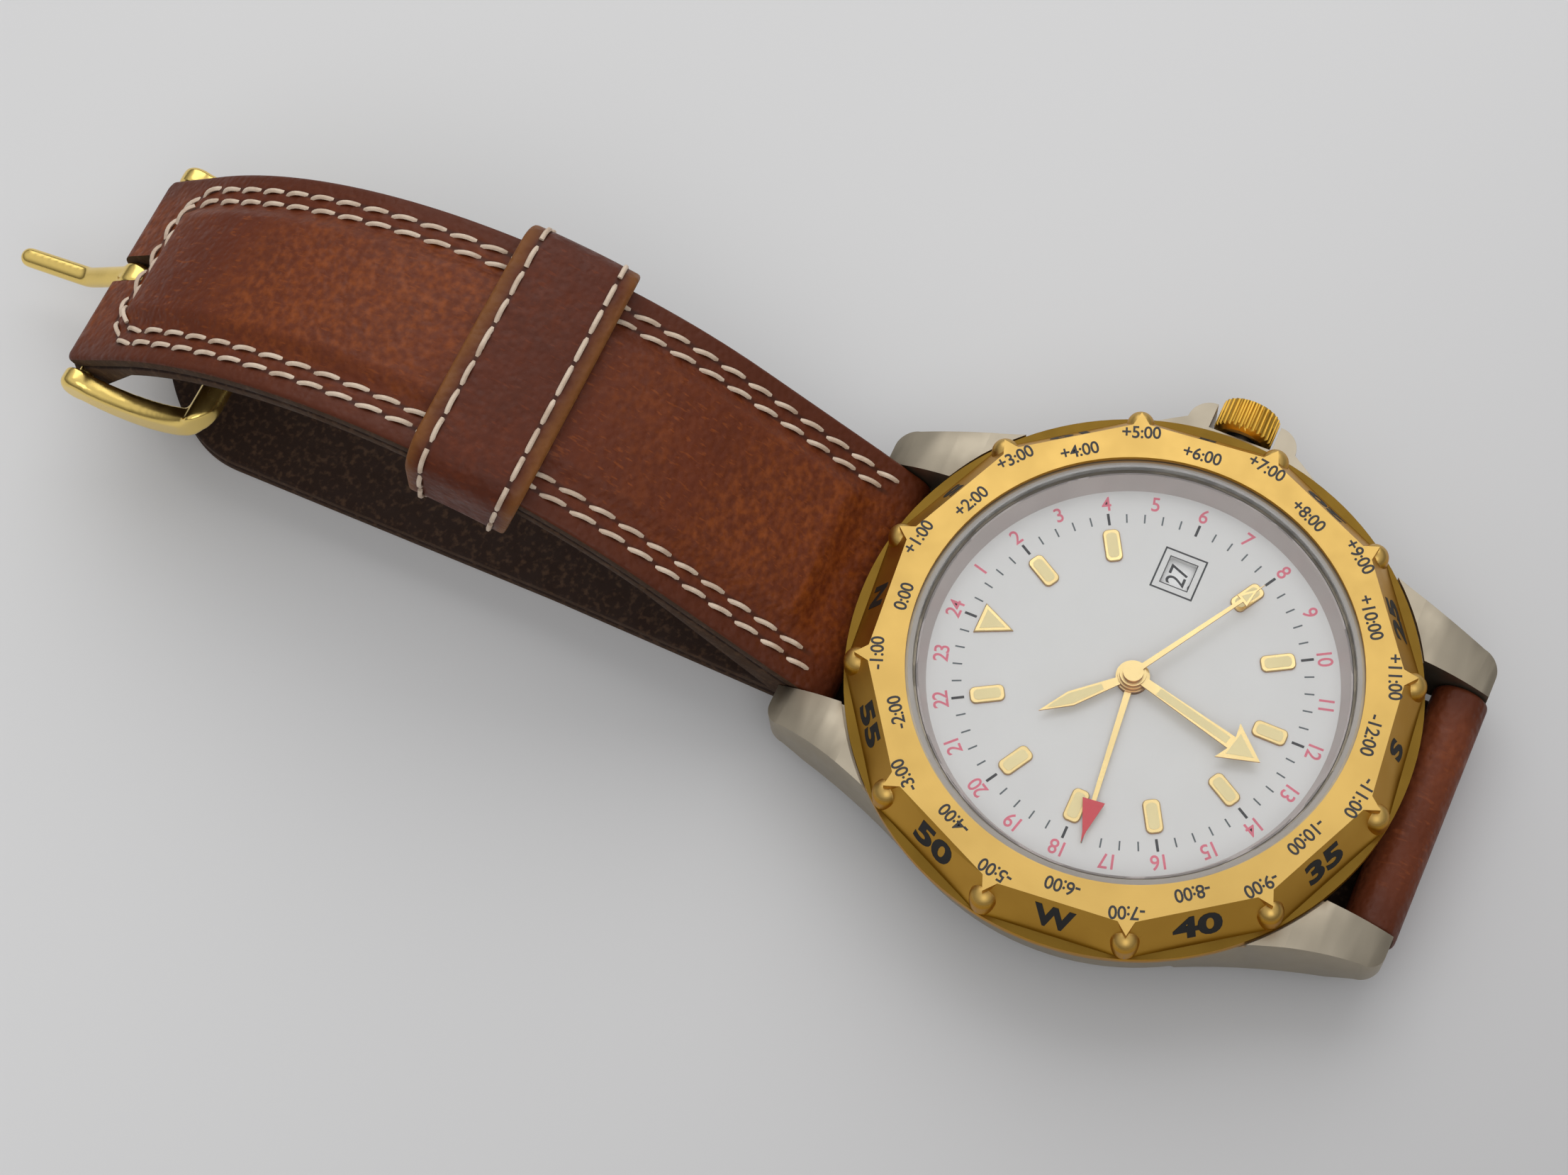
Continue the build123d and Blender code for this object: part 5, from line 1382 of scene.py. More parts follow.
    def slot(self) -> list[Mesh]:
        """Makes the tool that cuts the slot for the buckle's tongue.

        Returns:
            The tool, alone in a list.
        """
        centre = Vector((0, self.far_end, self.pin.z))
        depth = 2 * (self.slot_depth + self.fold_radius)
        return [box_mesh(centre, Vector((self.slot_width, depth, self.slot_height)))]

    def build(self) -> None:
        """Makes the leather, the lining and the stitches."""
        finishes = (STRAP_LEATHER, EDGE_PAINT, LINING)
        face = strap_layer(
            "strap_12_face", self.strip, finishes, self.slot(), self.body
        )
        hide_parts("strap_12_leather", "strap_12_filler")
        under = Strip(
            self.lining_stations(),
            self.half_width,
            edge=self.lining_edge,
            columns=self.lining_columns,
        )
        finishes = (LINING, EDGE_PAINT, LINING)
        lining = strap_layer(
            "strap_12_under", under, finishes, self.slot(), self.body
        )
        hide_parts("strap_12_lining")
        seams = [self.strip.seam(row, 0.0) for row in self.rows()]
        StitchTree().sew("strap_12_stitches", seams, self.body, CREAM_THREAD)


def box_mesh(centre: Vector, size: Vector) -> Mesh:
    """Makes a box.

    Args:
        centre: Its middle.
        size: Its whole size.

    Returns:
        The mesh.
    """
    whole = bmesh.new()
    place = Matrix.Translation(centre) @ Matrix.Diagonal((*size, 1.0))
    bmesh.ops.create_cube(whole, size=1.0, matrix=place)
    return written(whole, "box")


def drill_mesh(centre: Vector, radius: float, depth: float) -> Mesh:
    """Makes an upright round tool to cut with.

    Args:
        centre: Its middle.
        radius: Its radius.
        depth: Its whole length.

    Returns:
        The mesh.
    """
    whole = bmesh.new()
    place = Matrix.Translation(centre)
    sizes = {"radius1": radius, "radius2": radius, "depth": depth, "segments": 40}
    bmesh.ops.create_cone(whole, cap_ends=True, matrix=place, **sizes)
    return written(whole, "drill")


def notched(mesh: Mesh, cutters: Sequence[Mesh]) -> Mesh:
    """Cuts tools out of a mesh.

    Args:
        mesh: The closed mesh to cut. It is removed.
        cutters: The closed tools, apart from each other. They are removed.

    Returns:
        The cut mesh, whose cut walls have the edge's material.
    """
    tool = placed("cutter", joined("cutter", [(tool, Matrix.Identity(4)) for tool in cutters]))
    for material in mesh.materials:
        tool.data.materials.append(material)
    for polygon in tool.data.polygons:
        polygon.material_index = 1
    holder = placed("cut", mesh)
    modifier = holder.modifiers.new("cut", "BOOLEAN")
    modifier.operation = "DIFFERENCE"
    modifier.solver = "EXACT"
    modifier.object = tool
    made = baked(holder, mesh.name + "_cut")
    bpy.data.objects.remove(tool)
    bpy.data.meshes.remove(mesh)
    return made


@dataclass
class TailStrap(StrapHalf):
    """The long half of the strap: it bends down at its lugs and runs back flat under the case."""

    body: str = "strap_6"
    bend_radius: float = 3.9 * MM
    width: float = 17.0 * MM
    taper_reach: float = 45.0 * MM
    reach: float = 84.5 * MM
    tip_length: float = 11.0 * MM
    tip_power: float = 2.1
    tip_half: float = 0.25 * MM
    hole_radius: float = 0.95 * MM
    hole_pitch: float = 6.5 * MM
    first_hole: float = 24.0 * MM
    drill_length: float = 12.0 * MM
    holes: int = 7
    row_start: float = 12.0 * MM
    row_sink: float = 0.2 * MM
    row_rise: float = 0.16 * MM
    row_steps: int = 80
    loop_steps: int = 20
    drop_steps: int = 4
    bend_steps: int = 26
    flat_steps: int = 90
    tip_steps: int = 40
    lining_columns: int = 36

    def __post_init__(self) -> None:
        """Works out the places of the side view from the frame's joint."""
        self.bar = anchor("strap_6_unfold")
        self.bend = Vector((0, self.bar.y - self.loop_radius + self.bend_radius, self.bend_radius))
        self.drop = self.bar.z - self.bend.z
        self.flat_along = self.drop + math.pi / 2 * self.bend_radius
        self.strip = Strip(self.face_stations(), self.half_width, sewn=self.sewn)

    def sewn(self, across: float, along: float) -> Spot:
        """Gives how far inside the edge a place lies, and 1 along the rows or 0 before them."""
        return self.half_at(along) - abs(across), self.started(along, self.row_start)

    def half_at(self, along: float) -> float:
        """Gives half the tail's width at a distance along it."""
        return self.half_width(max(self.bend.y + along - self.flat_along, self.bar.y))

    def half_width(self, place: float) -> float:
        """Gives half the tail's width at a place along +Y: a taper, then a pointed arch.

        Args:
            place: The place in the frame.

        Returns:
            Half the width there.
        """
        start = self.bar.y + self.loop_radius
        share = clamped((place - start) / (self.taper_reach - start))
        half = (self.lug_width + share * (self.width - self.lug_width)) / 2
        tip = max(0.0, (place - self.reach + self.tip_length) / self.tip_length)
        return max(self.tip_half, half * (1 - tip**self.tip_power) if tip < 1 else 0.0)

    def stations_of(self, outer: float, inner: float) -> list[Station]:
        """Gives the stations between two depths inside the tail's outer face.

        Args:
            outer: Depth of the face.
            inner: Depth of the back.

        Returns:
            The stations from the top of the bend to the tip.
        """
        radius = self.bend_radius
        top = self.bend + Vector((0, -radius, self.drop))
        stations = []
        for index in range(self.drop_steps):
            along = self.drop * index / self.drop_steps
            ends = [Vector((0, top.y + depth, top.z - along)) for depth in (outer, inner)]
            stations.append(Station(*ends, along))
        radii = (radius - outer, radius - inner)
        stations += arc_of(self.bend, (180.0, 270.0), radii, self.drop, self.bend_steps)
        tip = self.reach - self.tip_length
        flat = tip - self.bend.y
        places = [self.bend.y + flat * index / self.flat_steps for index in range(self.flat_steps)]
        for index in range(self.tip_steps + 1):
            turn = math.pi / 2 * index / self.tip_steps
            places.append(tip + self.tip_length * math.sin(turn))
        for place in places:
            ends = [Vector((0, place, depth)) for depth in (outer, inner)]
            stations.append(Station(*ends, self.flat_along + place - self.bend.y))
        return stations

    def face_stations(self) -> list[Station]:
        """Gives the stations of the leather.

        Returns:
            The stations, from over the spring bar round its loop to the tip.
        """
        radii = (self.loop_radius, self.bar_bore)
        begin = -math.pi * self.loop_radius
        loop = arc_of(self.bar, (0.0, 180.0), radii, begin, self.loop_steps)
        return loop + self.stations_of(0.0, self.leather)

    def rows(self) -> list[tuple[Path, Path]]:
        """Gives the two stitch rows of the face as points and directions.

        Returns:
            The rows.
        """
        seams = []
        for number in (0, 1):
            inset = self.outer_row + number * self.row_gap
            start = self.row_start + number * StitchTree.pitch / 2
            finish = self.flat_along + self.reach - self.bend.y - inset
            side = []
            for index in range(self.row_steps + 1):
                along = start + (finish - start) * index / self.row_steps
                side.append((max(0.0, self.half_at(along) - inset), along))
                if side[-1][0] == 0.0:
                    break
            line = [(-x, s) for x, s in side] + list(reversed(side))
            seams.append(self.strip.seam(line, -self.row_sink))
        return seams

    def drills(self) -> list[Mesh]:
        """Makes the tools that cut the holes.

        Returns:
            The tools, the hole nearest the tip first.
        """
        first = self.reach - self.first_hole
        places = [first - index * self.hole_pitch for index in range(self.holes)]
        sizes = (self.hole_radius, self.drill_length)
        return [drill_mesh(Vector((0, place, 0)), *sizes) for place in places]

    def build(self) -> None:
        """Makes the leather, the lining, the holes and the stitches."""
        finishes = (TAIL_LEATHER, EDGE_PAINT, LINING)
        face = strap_layer(
            "strap_6_face", self.strip, finishes, self.drills(), self.body
        )
        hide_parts("strap_6_leather")
        under = Strip(
            self.stations_of(self.leather + LAYER_GAP, self.leather + self.lining),
            self.half_width,
            edge=self.lining_edge,
            columns=self.lining_columns,
        )
        finishes = (LINING, EDGE_PAINT, LINING)
        lining = strap_layer(
            "strap_6_under", under, finishes, self.drills(), self.body
        )
        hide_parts("strap_6_lining")
        tree = StitchTree(rise=self.row_rise, sink=self.row_sink)
        tree.sew("strap_6_stitches", self.rows(), self.body, CREAM_THREAD)


@dataclass
class Keeper:
    """The free loop of stitched leather on the buckle half."""

    body: str = "keeper"
    leather: float = 1.1 * MM
    length: float = 8.7 * MM
    angle: float = -12.4
    inner_height: float = 5.8 * MM
    inner_top: float = 39.9 * MM
    arch_radius: float = 39.0 * MM
    corner: float = 1.4 * MM
    crown: float = 0.25 * MM
    edge: float = 0.3 * MM
    crease: float = 55.0
    row_inset: float = 1.3 * MM
    pitch: float = 2.45 * MM
    columns: int = 20
    top_steps: int = 16
    under_steps: int = 24
    corner_steps: int = 8

    def __post_init__(self) -> None:
        """Takes the arch's centre and the loop's width from the frame."""
        self.centre = anchor("keeper_slide")
        low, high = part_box("keeper")
        self.inner_width = high.x - low.x - 2 * self.leather

    def outline(self, radius: float, grow: float) -> list[Vector]:
        """Gives the loop's outline in its own plane, as x and height over the arch's centre.

        Args:
            radius: Radius of its corners.
            grow: How far it stands outside the inner outline.

        Returns:
            The points, clockwise from the middle of the top.
        """
        half_x = self.inner_width / 2 + grow - radius
        half_z = self.inner_height / 2 + grow - radius
        middle = self.inner_top - self.inner_height / 2
        over = [half_x * index / self.top_steps for index in range(self.top_steps)]
        points = [(x, half_z + radius) for x in over]
        for side_x, side_z, first in ((1, 1, 90.0), (1, -1, 0.0), (-1, -1, -90.0), (-1, 1, -180.0)):
            for index in range(self.corner_steps + 1):
                turn = math.radians(first - 90.0 * index / self.corner_steps)
                x = side_x * half_x + radius * math.cos(turn)
                points.append((x, side_z * half_z + radius * math.sin(turn)))
            if (side_x, side_z) == (1, -1):
                for index in range(1, self.under_steps):
                    x = half_x - 2 * half_x * index / self.under_steps
                    points.append((x, -half_z - radius))
        points += [(x - half_x, half_z + radius) for x in over[1:]]
        made = []
        for x, z in points:
            bow = self.crown * (1 - (x / (half_x + radius)) ** 2) if z > 0 else 0.0
            made.append(Vector((x, 0.0, middle + z + bow)))
        return made

    def bent(self, place: Vector, across: float) -> Vector:
        """Wraps a point of the flat loop round the arch.

        Args:
            place: The point, its Z counted from the arch's centre.
            across: Its distance along the arch from the loop's middle.

        Returns:
            The point in the frame.
        """
        turn = math.radians(self.angle) + across / self.arch_radius
        reach = self.centre.y + place.z * math.sin(turn)
        return Vector((place.x, reach, self.centre.z + place.z * math.cos(turn)))

    def build(self) -> None:
        """Makes the loop and its two stitch rows."""
        outer = self.outline(self.corner + self.leather, self.leather)
        inner = self.outline(self.corner, 0.0)
        along = 0.0
        stations = [Station(outer[0], inner[0], along)]
        for before, face, back in zip(outer, outer[1:], inner[1:]):
            along += (face - before).length
            stations.append(Station(face, back, along))
        strip = Strip(
            stations,
            lambda place: self.length / 2,
            edge=self.edge,
            columns=self.columns,
            closed=True,
            bend=self.bent,
        )
        mesh = coated(strip.mesh("keeper_loop"), KEEPER_LEATHER, RAW_EDGE, LINING)
        loop = new_piece("keeper_loop", soften(mesh, self.crease), self.body)
        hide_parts("keeper")
        row = self.length / 2 - self.row_inset
        seams = [strip.seam([(side * row, 0.0), (side * row, along)], 0.0) for side in (-1, 1)]
        tree = StitchTree(pitch=self.pitch, slant=0.0)
        tree.sew("keeper_stitches", seams, self.body, CREAM_THREAD)


@dataclass
class TickRing:
    """Geometry nodes that print a ring of thin bars on a dial."""

    count: int
    radius: float
    size: Triple
    height: float

    def print_bars(self, name: str, finish: Finish) -> None:
        """Builds the tree, runs it and puts the bars on the dial.

        Args:
            name: The piece's name.
            finish: The bars' finish.
        """
        kinds = {"Count": "Int", "Radius": "Float", "Height": "Float", "Bar Size": "Vector"}
        tree = new_tree(name, kinds)
        knot = Knot(tree)
        given = knot.node("NodeGroupInput").outputs
        inputs = {"Vertices": given["Count"], "Radius": given["Radius"]}
        ring = knot.node("GeometryNodeMeshCircle", inputs).outputs[0]
        inputs = {"Vector": knot.node("GeometryNodeInputPosition").outputs[0]}
        align = "FunctionNodeAlignRotationToVector"
        outward = knot.node(align, inputs, axis="Y", pivot_axis="Z").outputs[0]
        bar = knot.node("GeometryNodeMeshCube", {"Size": given["Bar Size"]}).outputs[0]
        inputs = {"Points": ring, "Instance": bar, "Rotation": outward}
        bars = knot.node("GeometryNodeInstanceOnPoints", inputs).outputs[0]
        inputs = {"Geometry": bars, "Translation": knot.vector(z=given["Height"])}
        end_tree(knot, knot.node("GeometryNodeTransform", inputs).outputs[0], finish)
        values = {"Count": self.count, "Radius": self.radius, "Height": self.height}
        seed = bpy.data.meshes.new(name + "_seed")
        seed.from_pydata([(0, 0, 0)], [], [])
        new_piece(name, grown(name, seed, tree, {**values, "Bar Size": self.size}), "case")


@dataclass
class Dial:
    """Printing of the dial: ticks, 24-hour numerals, the date frame and the dates."""

    print_rise: float = 0.006 * MM
    tick_radius: float = 12.93 * MM
    tick_size: Triple = (0.12 * MM, 0.72 * MM, INK_THICKNESS)
    long_tick_size: Triple = (0.2 * MM, 0.95 * MM, 1.4 * INK_THICKNESS)
    numeral_radius: float = 14.15 * MM
    numeral_size: float = 1.62 * MM
    date_place: float = 9.15 * MM
    date_size: float = 2.1 * MM
    date_count: int = 31
    shown_date: int = 27
    frame_line: float = 0.13 * MM
    edge_shade_line: float = 0.07 * MM
    window: Spot = (2.2 * MM, 2.1 * MM)
    frame_gap: float = 0.5 * MM

    def build(self) -> None:
        """Prints the dial and the date ring."""
        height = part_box("dial")[1].z + self.print_rise
        TickRing(60, self.tick_radius, self.tick_size, height).print_bars("minute_ticks", GREY_INK)
        fives = TickRing(12, self.tick_radius, self.long_tick_size, height)
        fives.print_bars("five_minute_ticks", BLACK_INK)
        writer = Lettering(self.numeral_size, weight=0.01, stretch=0.92, spacing=0.88)
        words = []
        for hour in range(24):
            place = clock_place(self.numeral_radius, hour * 15.0, height)
            words.append((writer, str(hour or 24), place))
        print_words("hours_24", "case", RED_INK, words)
        self.print_window(height)
        self.print_dates()

    def print_window(self, height: float) -> None:
        """Prints the frame round the date window, and a black line on the window's edge as painted
        shade of its bevel.

        Args:
            height: Height of the print.
        """
        width, tall = self.window
        bars = []
        # The line at no gap is painted shade on the window's bevel; the outer one is the printed
        # frame.
        for gap, line in ((0.0, self.edge_shade_line), (self.frame_gap, self.frame_line)):
            reach_x = width / 2 + gap + line / 2
            reach_y = tall / 2 + gap + line / 2
            upright = Vector((line, 2 * reach_y + line, INK_THICKNESS))
            level = Vector((2 * reach_x - line, line, INK_THICKNESS))
            for side in (-1, 1):
                place = Vector((self.date_place + side * reach_x, 0, height))
                bars.append(box_mesh(place, upright))
                bars.append(box_mesh(Vector((self.date_place, side * reach_y, height)), level))
        mesh = joined("date_frame", [(bar, Matrix.Identity(4)) for bar in bars])
        new_piece("date_frame", coated(mesh, BLACK_INK), "case")

    def print_dates(self) -> None:
        """Prints the dates on their ring, so that each stands upright in the window."""
        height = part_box("date_ring")[1].z + self.print_rise
        writer = Lettering(self.date_size, weight=0.002, stretch=0.84, spacing=0.9)
        words = []
        for date in range(1, self.date_count + 1):
            angle = 90.0 + (date - self.shown_date) * 360.0 / self.date_count
            words.append((writer, str(date), clock_place(self.date_place, angle, height, -90.0)))
        print_words("dates", "date_ring", BLACK_INK, words)


@dataclass
class Markers:
    """Cream fills on the applied gold hour markers."""

    place: float = 10.75 * MM
    length: float = 2.02 * MM
    width: float = 0.82 * MM
    corner: float = 0.32 * MM
    rise: float = 0.03 * MM
    date_hour: int = 3
    triangle: Triple = (11.9 * MM, 10.15 * MM, 0.82 * MM)

    def build(self) -> None:
        """Makes the ten bars of cream and the triangle."""
        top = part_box("hour_markers")[1].z
        parts = []
        for hour in range(1, 12):
            if hour != self.date_hour:
                outline = rounded_outline(self.width, self.length, self.corner)
                place = clock_place(self.place, hour * 30.0, top)
                parts.append((pad_mesh(outline, self.rise), place))
        base, tip, half = self.triangle
        outline = [Vector((0, tip, 0)), Vector((half, base, 0)), Vector((-half, base, 0))]
        parts.append((pad_mesh(outline, self.rise), Matrix.Translation((0, 0, top))))
        new_piece("marker_fills", coated(joined("marker_fills", parts), LUME), "case")


def rounded_outline(width: float, length: float, corner: float, steps: int = 4) -> list[Vector]:
    """Gives a rounded rectangle about the origin.

    Args:
        width: Its size along X.
        length: Its size along Y.
        corner: Radius of its corners.
        steps: Edges to a corner.

    Returns:
        Its points, counter-clockwise.
    """
    points = []
    for side_x, side_y, first in ((1, 1, 0.0), (-1, 1, 90.0), (-1, -1, 180.0), (1, -1, 270.0)):
        for index in range(steps + 1):
            turn = math.radians(first + 90.0 * index / steps)
            x = side_x * (width / 2 - corner) + corner * math.cos(turn)
            y = side_y * (length / 2 - corner) + corner * math.sin(turn)
            points.append(Vector((x, y, 0)))
    return points


def pad_mesh(outline: Sequence[Vector], rise: float) -> Mesh:
    """Makes a thin pad with a softened upper edge.

    Args:
        outline: Its outline, counter-clockwise from above.
        rise: Its height.

    Returns:
        The mesh, closed, from the outline's plane upwards.
    """
    middle = sum(outline, Vector()) / len(outline)
    whole = bmesh.new()
    rings = []
    for share, height in ((1.0, 0.0), (1.0, 0.6 * rise), (0.9, rise)):
        lift = Vector((0, 0, height))
        level = [middle + (point - middle) * share + lift for point in outline]
        rings.append([whole.verts.new(point) for point in level])
    for low, high in zip(rings, rings[1:]):
        for index in range(len(outline)):
            beside = (index + 1) % len(outline)
            whole.faces.new((low[index], low[beside], high[beside], high[index]))
    whole.faces.new(list(reversed(rings[0])))
    whole.faces.new(rings[-1])
    return written(whole, "pad")


def inlay_height(node: str, thickness: float = 0.14 * MM) -> float:
    """Gives the height of the flat of a hand."""
    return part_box(node)[0].z + thickness


@dataclass(frozen=True)
class Inlay:
    """A coloured pad on a hand.

    Its outline is the right side's half widths and reaches in millimetres, from the hub outwards.
    """

    name: str
    node: str
    body: str
    angle: float
    finish: Finish
    outline: tuple[Spot, ...]
    rise: float = 0.02 * MM

    def build(self) -> None:
        """Lays the inlay on the flat of its hand."""
        right = [Vector((half * MM, reach * MM, 0)) for half, reach in self.outline]
        left = [Vector((-point.x, point.y, 0)) for point in reversed(right) if point.x > 0]
        place = clock_place(0.0, self.angle, inlay_height(self.node))
        parts = [(pad_mesh(right + left, self.rise), place)]
        new_piece(self.name, coated(joined(self.name, parts), self.finish), self.body)


@dataclass
class Hands:
    """Cream inlays and the red tip on the gold hands."""

    hour: tuple[Spot, ...] = ((0.22, 2.4), (0.42, 4.9), (0.2, 6.1), (0.0, 6.8))
    minute: tuple[Spot, ...] = ((0.3, 2.3), (0.3, 8.5))
    minute_head: tuple[Spot, ...] = ((0.95, 8.95), (0.0, 10.75))
    second: tuple[Spot, ...] = ((0.3, 10.1), (0.0, 11.0))
    arrow: tuple[Spot, ...] = ((0.84, 10.04), (0.14, 12.5), (0.0, 13.4))
    inlays: tuple[Inlay, ...] = (
        Inlay("hour_inlay", "hour_hand", "hours", 315.0, LUME, hour),
        Inlay("minute_inlay", "minute_hand", "minutes", 194.0, LUME, minute),
        Inlay("minute_head_inlay", "minute_hand", "minutes", 194.0, LUME, minute_head),
        Inlay("second_inlay", "second_hand", "seconds", 121.5, LUME, second),
        Inlay("day_hour_tip", "gmt_hand", "day_hours", 264.0, HAND_RED, arrow),
    )

    def build(self) -> None:
        """Lays the inlays."""
        for inlay in self.inlays:
            inlay.build()


@dataclass
class BezelPrint:
    """Numbers of the turning bezel: offsets from universal time on top, minutes on its side."""

    turn: float = -5.5
    outer_radius: float = 18.72 * MM
    inner_radius: float = 17.62 * MM
    offset_size: float = 1.4 * MM
    offset_rise: float = 0.004 * MM
    offset_thickness: float = 0.02 * MM
    side_size: float = 2.65 * MM
    side_thickness: float = 0.05 * MM
    panel_top: float = 18.9 * MM
    panel_foot: float = 20.55 * MM
    foot_height: float = 9.15 * MM
    points: str = "NESW"

    def build(self) -> None:
        """Prints the top and the side of the bezel."""
        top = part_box("bezel")[1].z
        self.print_offsets(top + self.offset_rise)
        self.print_side(top)

    def print_offsets(self, height: float) -> None:
        """Prints the 24 offsets clockwise from 12 o'clock, in two circles by turns.

        Args:
            height: Height of the print.
        """
        writer = Lettering(
            self.offset_size, self.offset_thickness, weight=0.014, stretch=0.96, spacing=0.96
        )
        words = []
        for index in range(24):
            hour = index if index < 12 else index - 24
            radius = self.outer_radius if index % 2 else self.inner_radius
            place = clock_place(radius, index * 15.0 + self.turn, height)
            words.append((writer, f"{hour:+d}:00" if hour else "0:00", place))
        print_words("offset_numbers", "bezel", BLACK_INK, words)

    def print_side(self, top: float) -> None:
        """Prints the minutes and the points of the compass on the sloping panels.

        Args:
            top: Height of the panels' upper edge.
        """
        lean = math.atan2(self.panel_foot - self.panel_top, top - self.foot_height)
        upright = Matrix.Rotation(math.pi / 2 - lean, 4, "X")
        facing = Matrix.Rotation(math.pi, 4, "Z") @ upright
        middle = (self.panel_top + self.panel_foot) / 2
        height = (top + self.foot_height) / 2
        numeral = Lettering(self.side_size, self.side_thickness, weight=0.04, stretch=1.32)
        letter = Lettering(self.side_size, self.side_thickness, weight=0.045, stretch=0.98)
        words = []
        for index in range(12):
            place = clock_place(middle, index * 30.0 + self.turn, height) @ facing
            if index % 3:
                words.append((numeral, str(index * 5), place))
            else:
                words.append((letter, self.points[index // 3], place))
        print_words("side_numbers", "bezel", PANEL_BLACK, words)


class Metalwork:
    """Finishes of the nodes that keep their own shape."""

    finishes: tuple[tuple[Finish, str], ...] = (
        (CASE_STEEL, "mid_case"),
        (BACK_STEEL, "case_back"),
        (SATIN_GOLD, "bezel"),
        (CROWN_GOLD, "crown"),
        (YELLOW_GOLD, "buckle_frame buckle_pin buckle_tongue"),
        (HAND_GOLD, "hour_markers hour_hand minute_hand second_hand gmt_hand"),
        (BAR_STEEL, "bezel_click_wire crown_tube stem sliding_pinion setting_lever"),
        (BAR_STEEL, "movement_screws battery_clamp date_jumper spring_bar_12 spring_bar_6"),
        (BAR_STEEL, "bar_tip_12_left bar_tip_12_right bar_tip_6_left bar_tip_6_right"),
        (BRASS, "cannon_pinion fifth_wheel fourth_wheel third_wheel centre_wheel"),
        (BRASS, "minute_wheel hour_wheel day_wheel gmt_wheel"),
        (NICKEL, "main_plate train_bridge"),
        (BATTERY_STEEL, "battery quartz_can"),
        (MAGNET, "rotor"),
        (IRON, "stator"),
        (COPPER, "coil"),
        (BOARD_GREEN, "circuit_board"),
        (HOLDER_PLASTIC, "movement_ring"),
        (RUBBER, "case_back_gasket crown_gasket"),
        (PLASTIC, "crystal_gasket"),
        (GLASS, "crystal"),
        (FLANGE_GREY, "flange_ring"),
        (DIAL_WHITE, "dial"),
        (DATE_WHITE, "date_ring"),
    )
    rounding: dict[str, float] = {
        "mid_case": 0.14 * MM,
        "bezel": 0.1 * MM,
        "hour_markers": 0.05 * MM,
        "crown": 0.03 * MM,
    }
    polished: dict[str, tuple[float, int]] = {
        "buckle_frame": (0.14 * MM, 16),
        "buckle_tongue": (0.1 * MM, 24),
    }
    weld_gap: float = 0.001 * MM
    sharp_angle: float = 32.0

    def build(self) -> None:
        """Puts each finish on its nodes, then rounds the edges of the worn ones."""
        for finish, names in self.finishes:
            for name in names.split():
                materials = frame["nodes"][name].data.materials
                materials.clear()
                materials.append(finish.material())
                LOG.info("%s: %s", name, finish.name)
        for name, radius in self.rounding.items():
            self.round_edges(frame["nodes"][name], radius)
        for name, (grain, rounds) in self.polished.items():
            self.polish(frame["nodes"][name], grain, rounds)

    def polish(self, node: Object, grain: float, rounds: int) -> None:
        """Wears a cast piece round, as hand polishing does.

        Args:
            node: The node.
            grain: Size of the cells that its surface is redrawn with.
            rounds: How often it is smoothed.
        """
        redrawn = node.modifiers.new("redrawn", "REMESH")
        redrawn.mode = "VOXEL"
        redrawn.voxel_size = grain
        redrawn.use_smooth_shade = True
        worn = node.modifiers.new("worn", "SMOOTH")
        worn.factor = 0.5
        worn.iterations = rounds

    def round_edges(self, node: Object, radius: float) -> None:
        """Joins a node's facets and rounds its sharp edges.

        Args:
            node: The node.
            radius: Width of the rounding.
        """
        weld = node.modifiers.new("joined", "WELD")
        weld.merge_threshold = self.weld_gap
        bevel = node.modifiers.new("rounded", "BEVEL")
        bevel.width = radius
        bevel.segments = 2
        bevel.limit_method = "ANGLE"
        bevel.angle_limit = math.radians(self.sharp_angle)
        bevel.harden_normals = True


@dataclass(frozen=True)
class Lamp:
    """A soft square lamp, its power in watts."""

    name: str
    place: Triple
    size: float
    power: float

    def build(self, aim: Vector) -> None:
        """Adds the lamp.

        Args:
            aim: The place that it points at.
        """
        data = bpy.data.lights.new(self.name, "AREA")
        data.size = self.size
        data.energy = self.power
        lamp = placed(self.name, data)
        lamp.location = self.place
        lamp.rotation_mode = "QUATERNION"
        lamp.rotation_quaternion = (aim - lamp.location).to_track_quat("-Z", "Y")


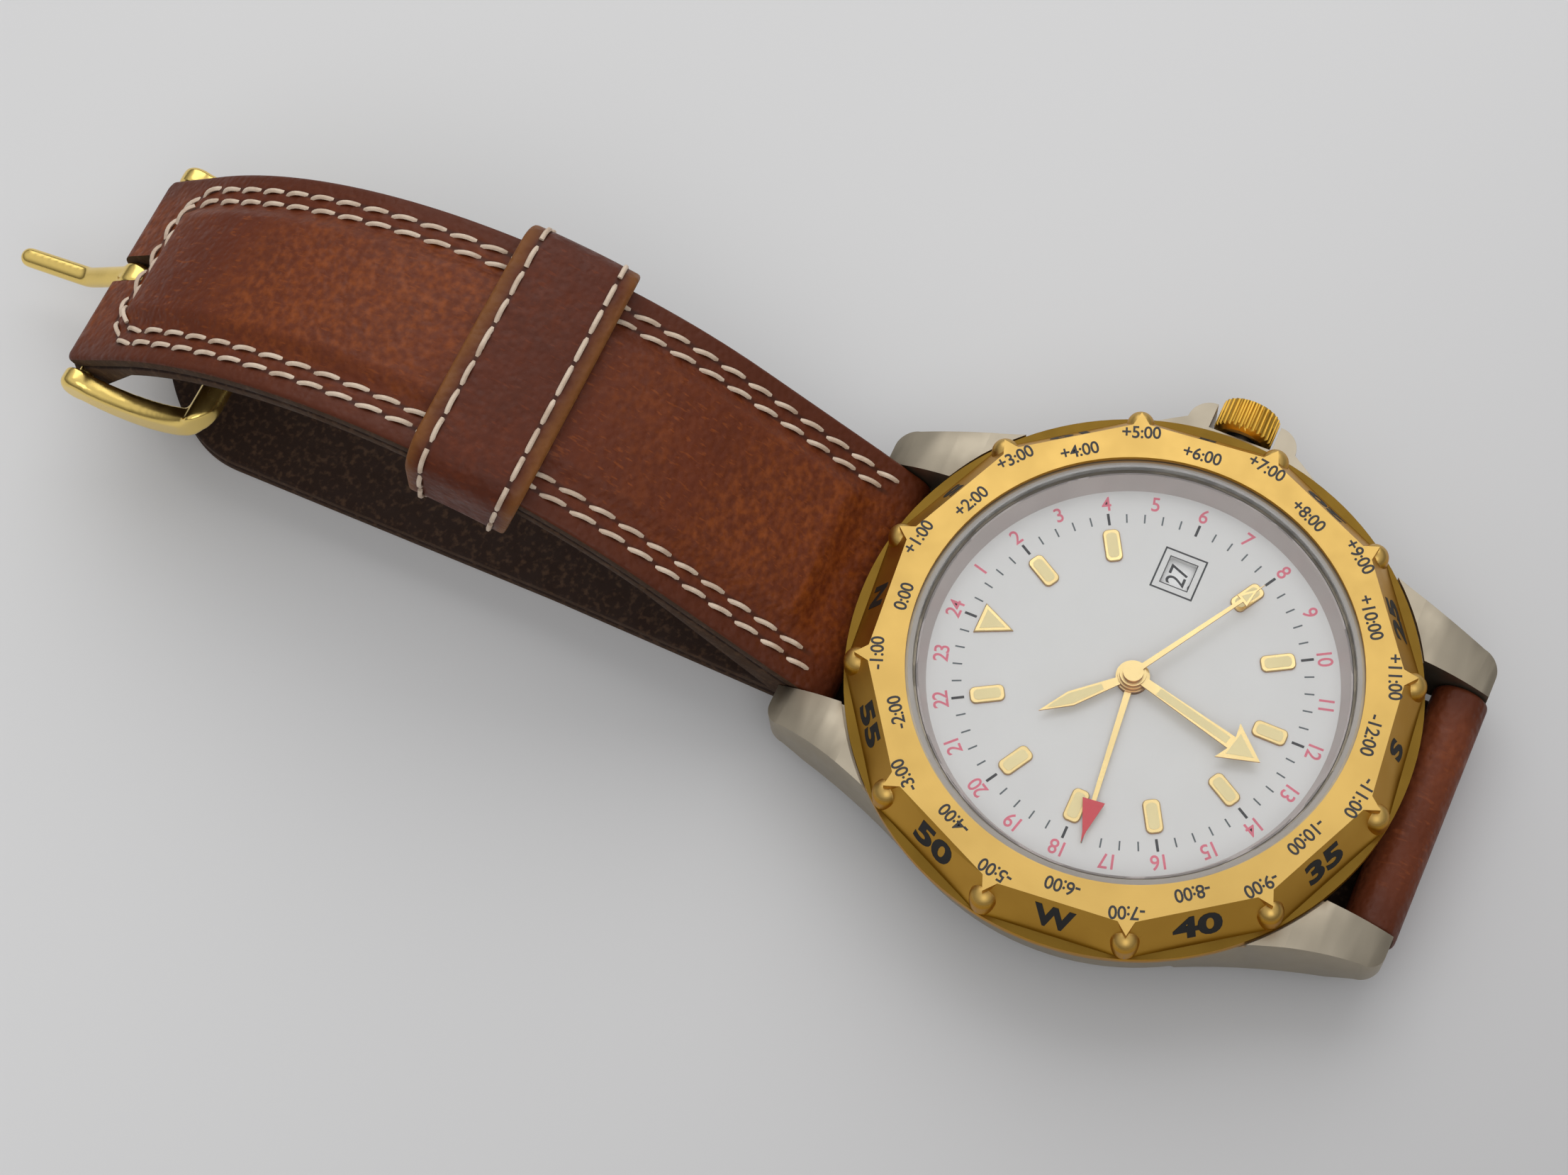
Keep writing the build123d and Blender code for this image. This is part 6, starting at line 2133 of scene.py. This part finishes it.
@dataclass
class Studio:
    """The floor, the soft light and the camera at the photograph's angle.

    The camera's place and target are in millimetres, and the picture's top is a bearing in degrees.
    """

    floor_half: float = 4.0
    floor_height: float = -0.02 * MM
    horizon: Colour = srgb(104, 102, 100)
    overhead: Colour = srgb(240, 240, 241)
    room_strength: float = 0.8
    lamps: tuple[Lamp, ...] = (
        Lamp("key_light", (0.5, 0.2, 0.5), 0.8, 2.4),
        Lamp("fill_light", (-0.35, -0.2, 0.65), 0.5, 0.9),
    )
    aim: Triple = (0.0, 0.03, 0.0)
    camera_place: Triple = (-78.5, -21.2, 218.1)
    camera_target: Triple = (-0.2, 28.8, 0.0)
    picture_top: float = 65.3
    lens: float = 69.35
    clip: Spot = (0.005, 20.0)

    def build(self) -> None:
        """Makes the studio."""
        self.floor()
        self.world()
        for lamp in self.lamps:
            lamp.build(Vector(self.aim))
        self.camera()

    def floor(self) -> None:
        """Makes the pale floor."""
        half = self.floor_half
        corners = [(-half, -half), (half, -half), (half, half), (-half, half)]
        mesh = bpy.data.meshes.new("floor")
        mesh.from_pydata([(x, y, self.floor_height) for x, y in corners], [], [(0, 1, 2, 3)])
        floor = placed("floor", coated(mesh, FLOOR_PAPER))

    def world(self) -> None:
        """Makes the even light of the room, brighter overhead."""
        world = bpy.data.worlds.new("room")
        bpy.context.scene.world = world
        world.use_nodes = True
        world.node_tree.nodes.clear()
        knot = Knot(world.node_tree)
        up = knot.part(knot.node("ShaderNodeTexCoord").outputs["Generated"], "Z")
        colour = knot.blend(knot.span(up, 0.0, 0.8), self.horizon, self.overhead)
        inputs = {"Color": colour, "Strength": self.room_strength}
        room = knot.node("ShaderNodeBackground", inputs).outputs[0]
        knot.node("ShaderNodeOutputWorld", {"Surface": room})

    def camera(self) -> None:
        """Places the camera from its target and the bearing of the picture's top."""
        place = Vector(self.camera_place) * MM
        back = (place - Vector(self.camera_target) * MM).normalized()
        top = math.radians(self.picture_top)
        right = Vector((math.sin(top), math.cos(top), 0)).cross(back).normalized()
        turn = Matrix((right, back.cross(right), back)).transposed().to_4x4()
        data = bpy.data.cameras.new("camera")
        data.lens = self.lens
        data.clip_start, data.clip_end = self.clip
        camera = placed("camera", data)
        camera.matrix_world = Matrix.Translation(place) @ turn
        bpy.context.scene.camera = camera


def main() -> None:
    """Builds every sub-assembly."""
    logging.basicConfig(level=logging.INFO, format="%(name)s %(message)s")
    bpy.context.scene.view_settings.view_transform = "Standard"
    makers = (Studio, Metalwork, Dial, Markers, Hands, BezelPrint, BuckleStrap, TailStrap, Keeper)
    for maker in makers:
        maker().build()


if __name__ == "__main__":
    main()
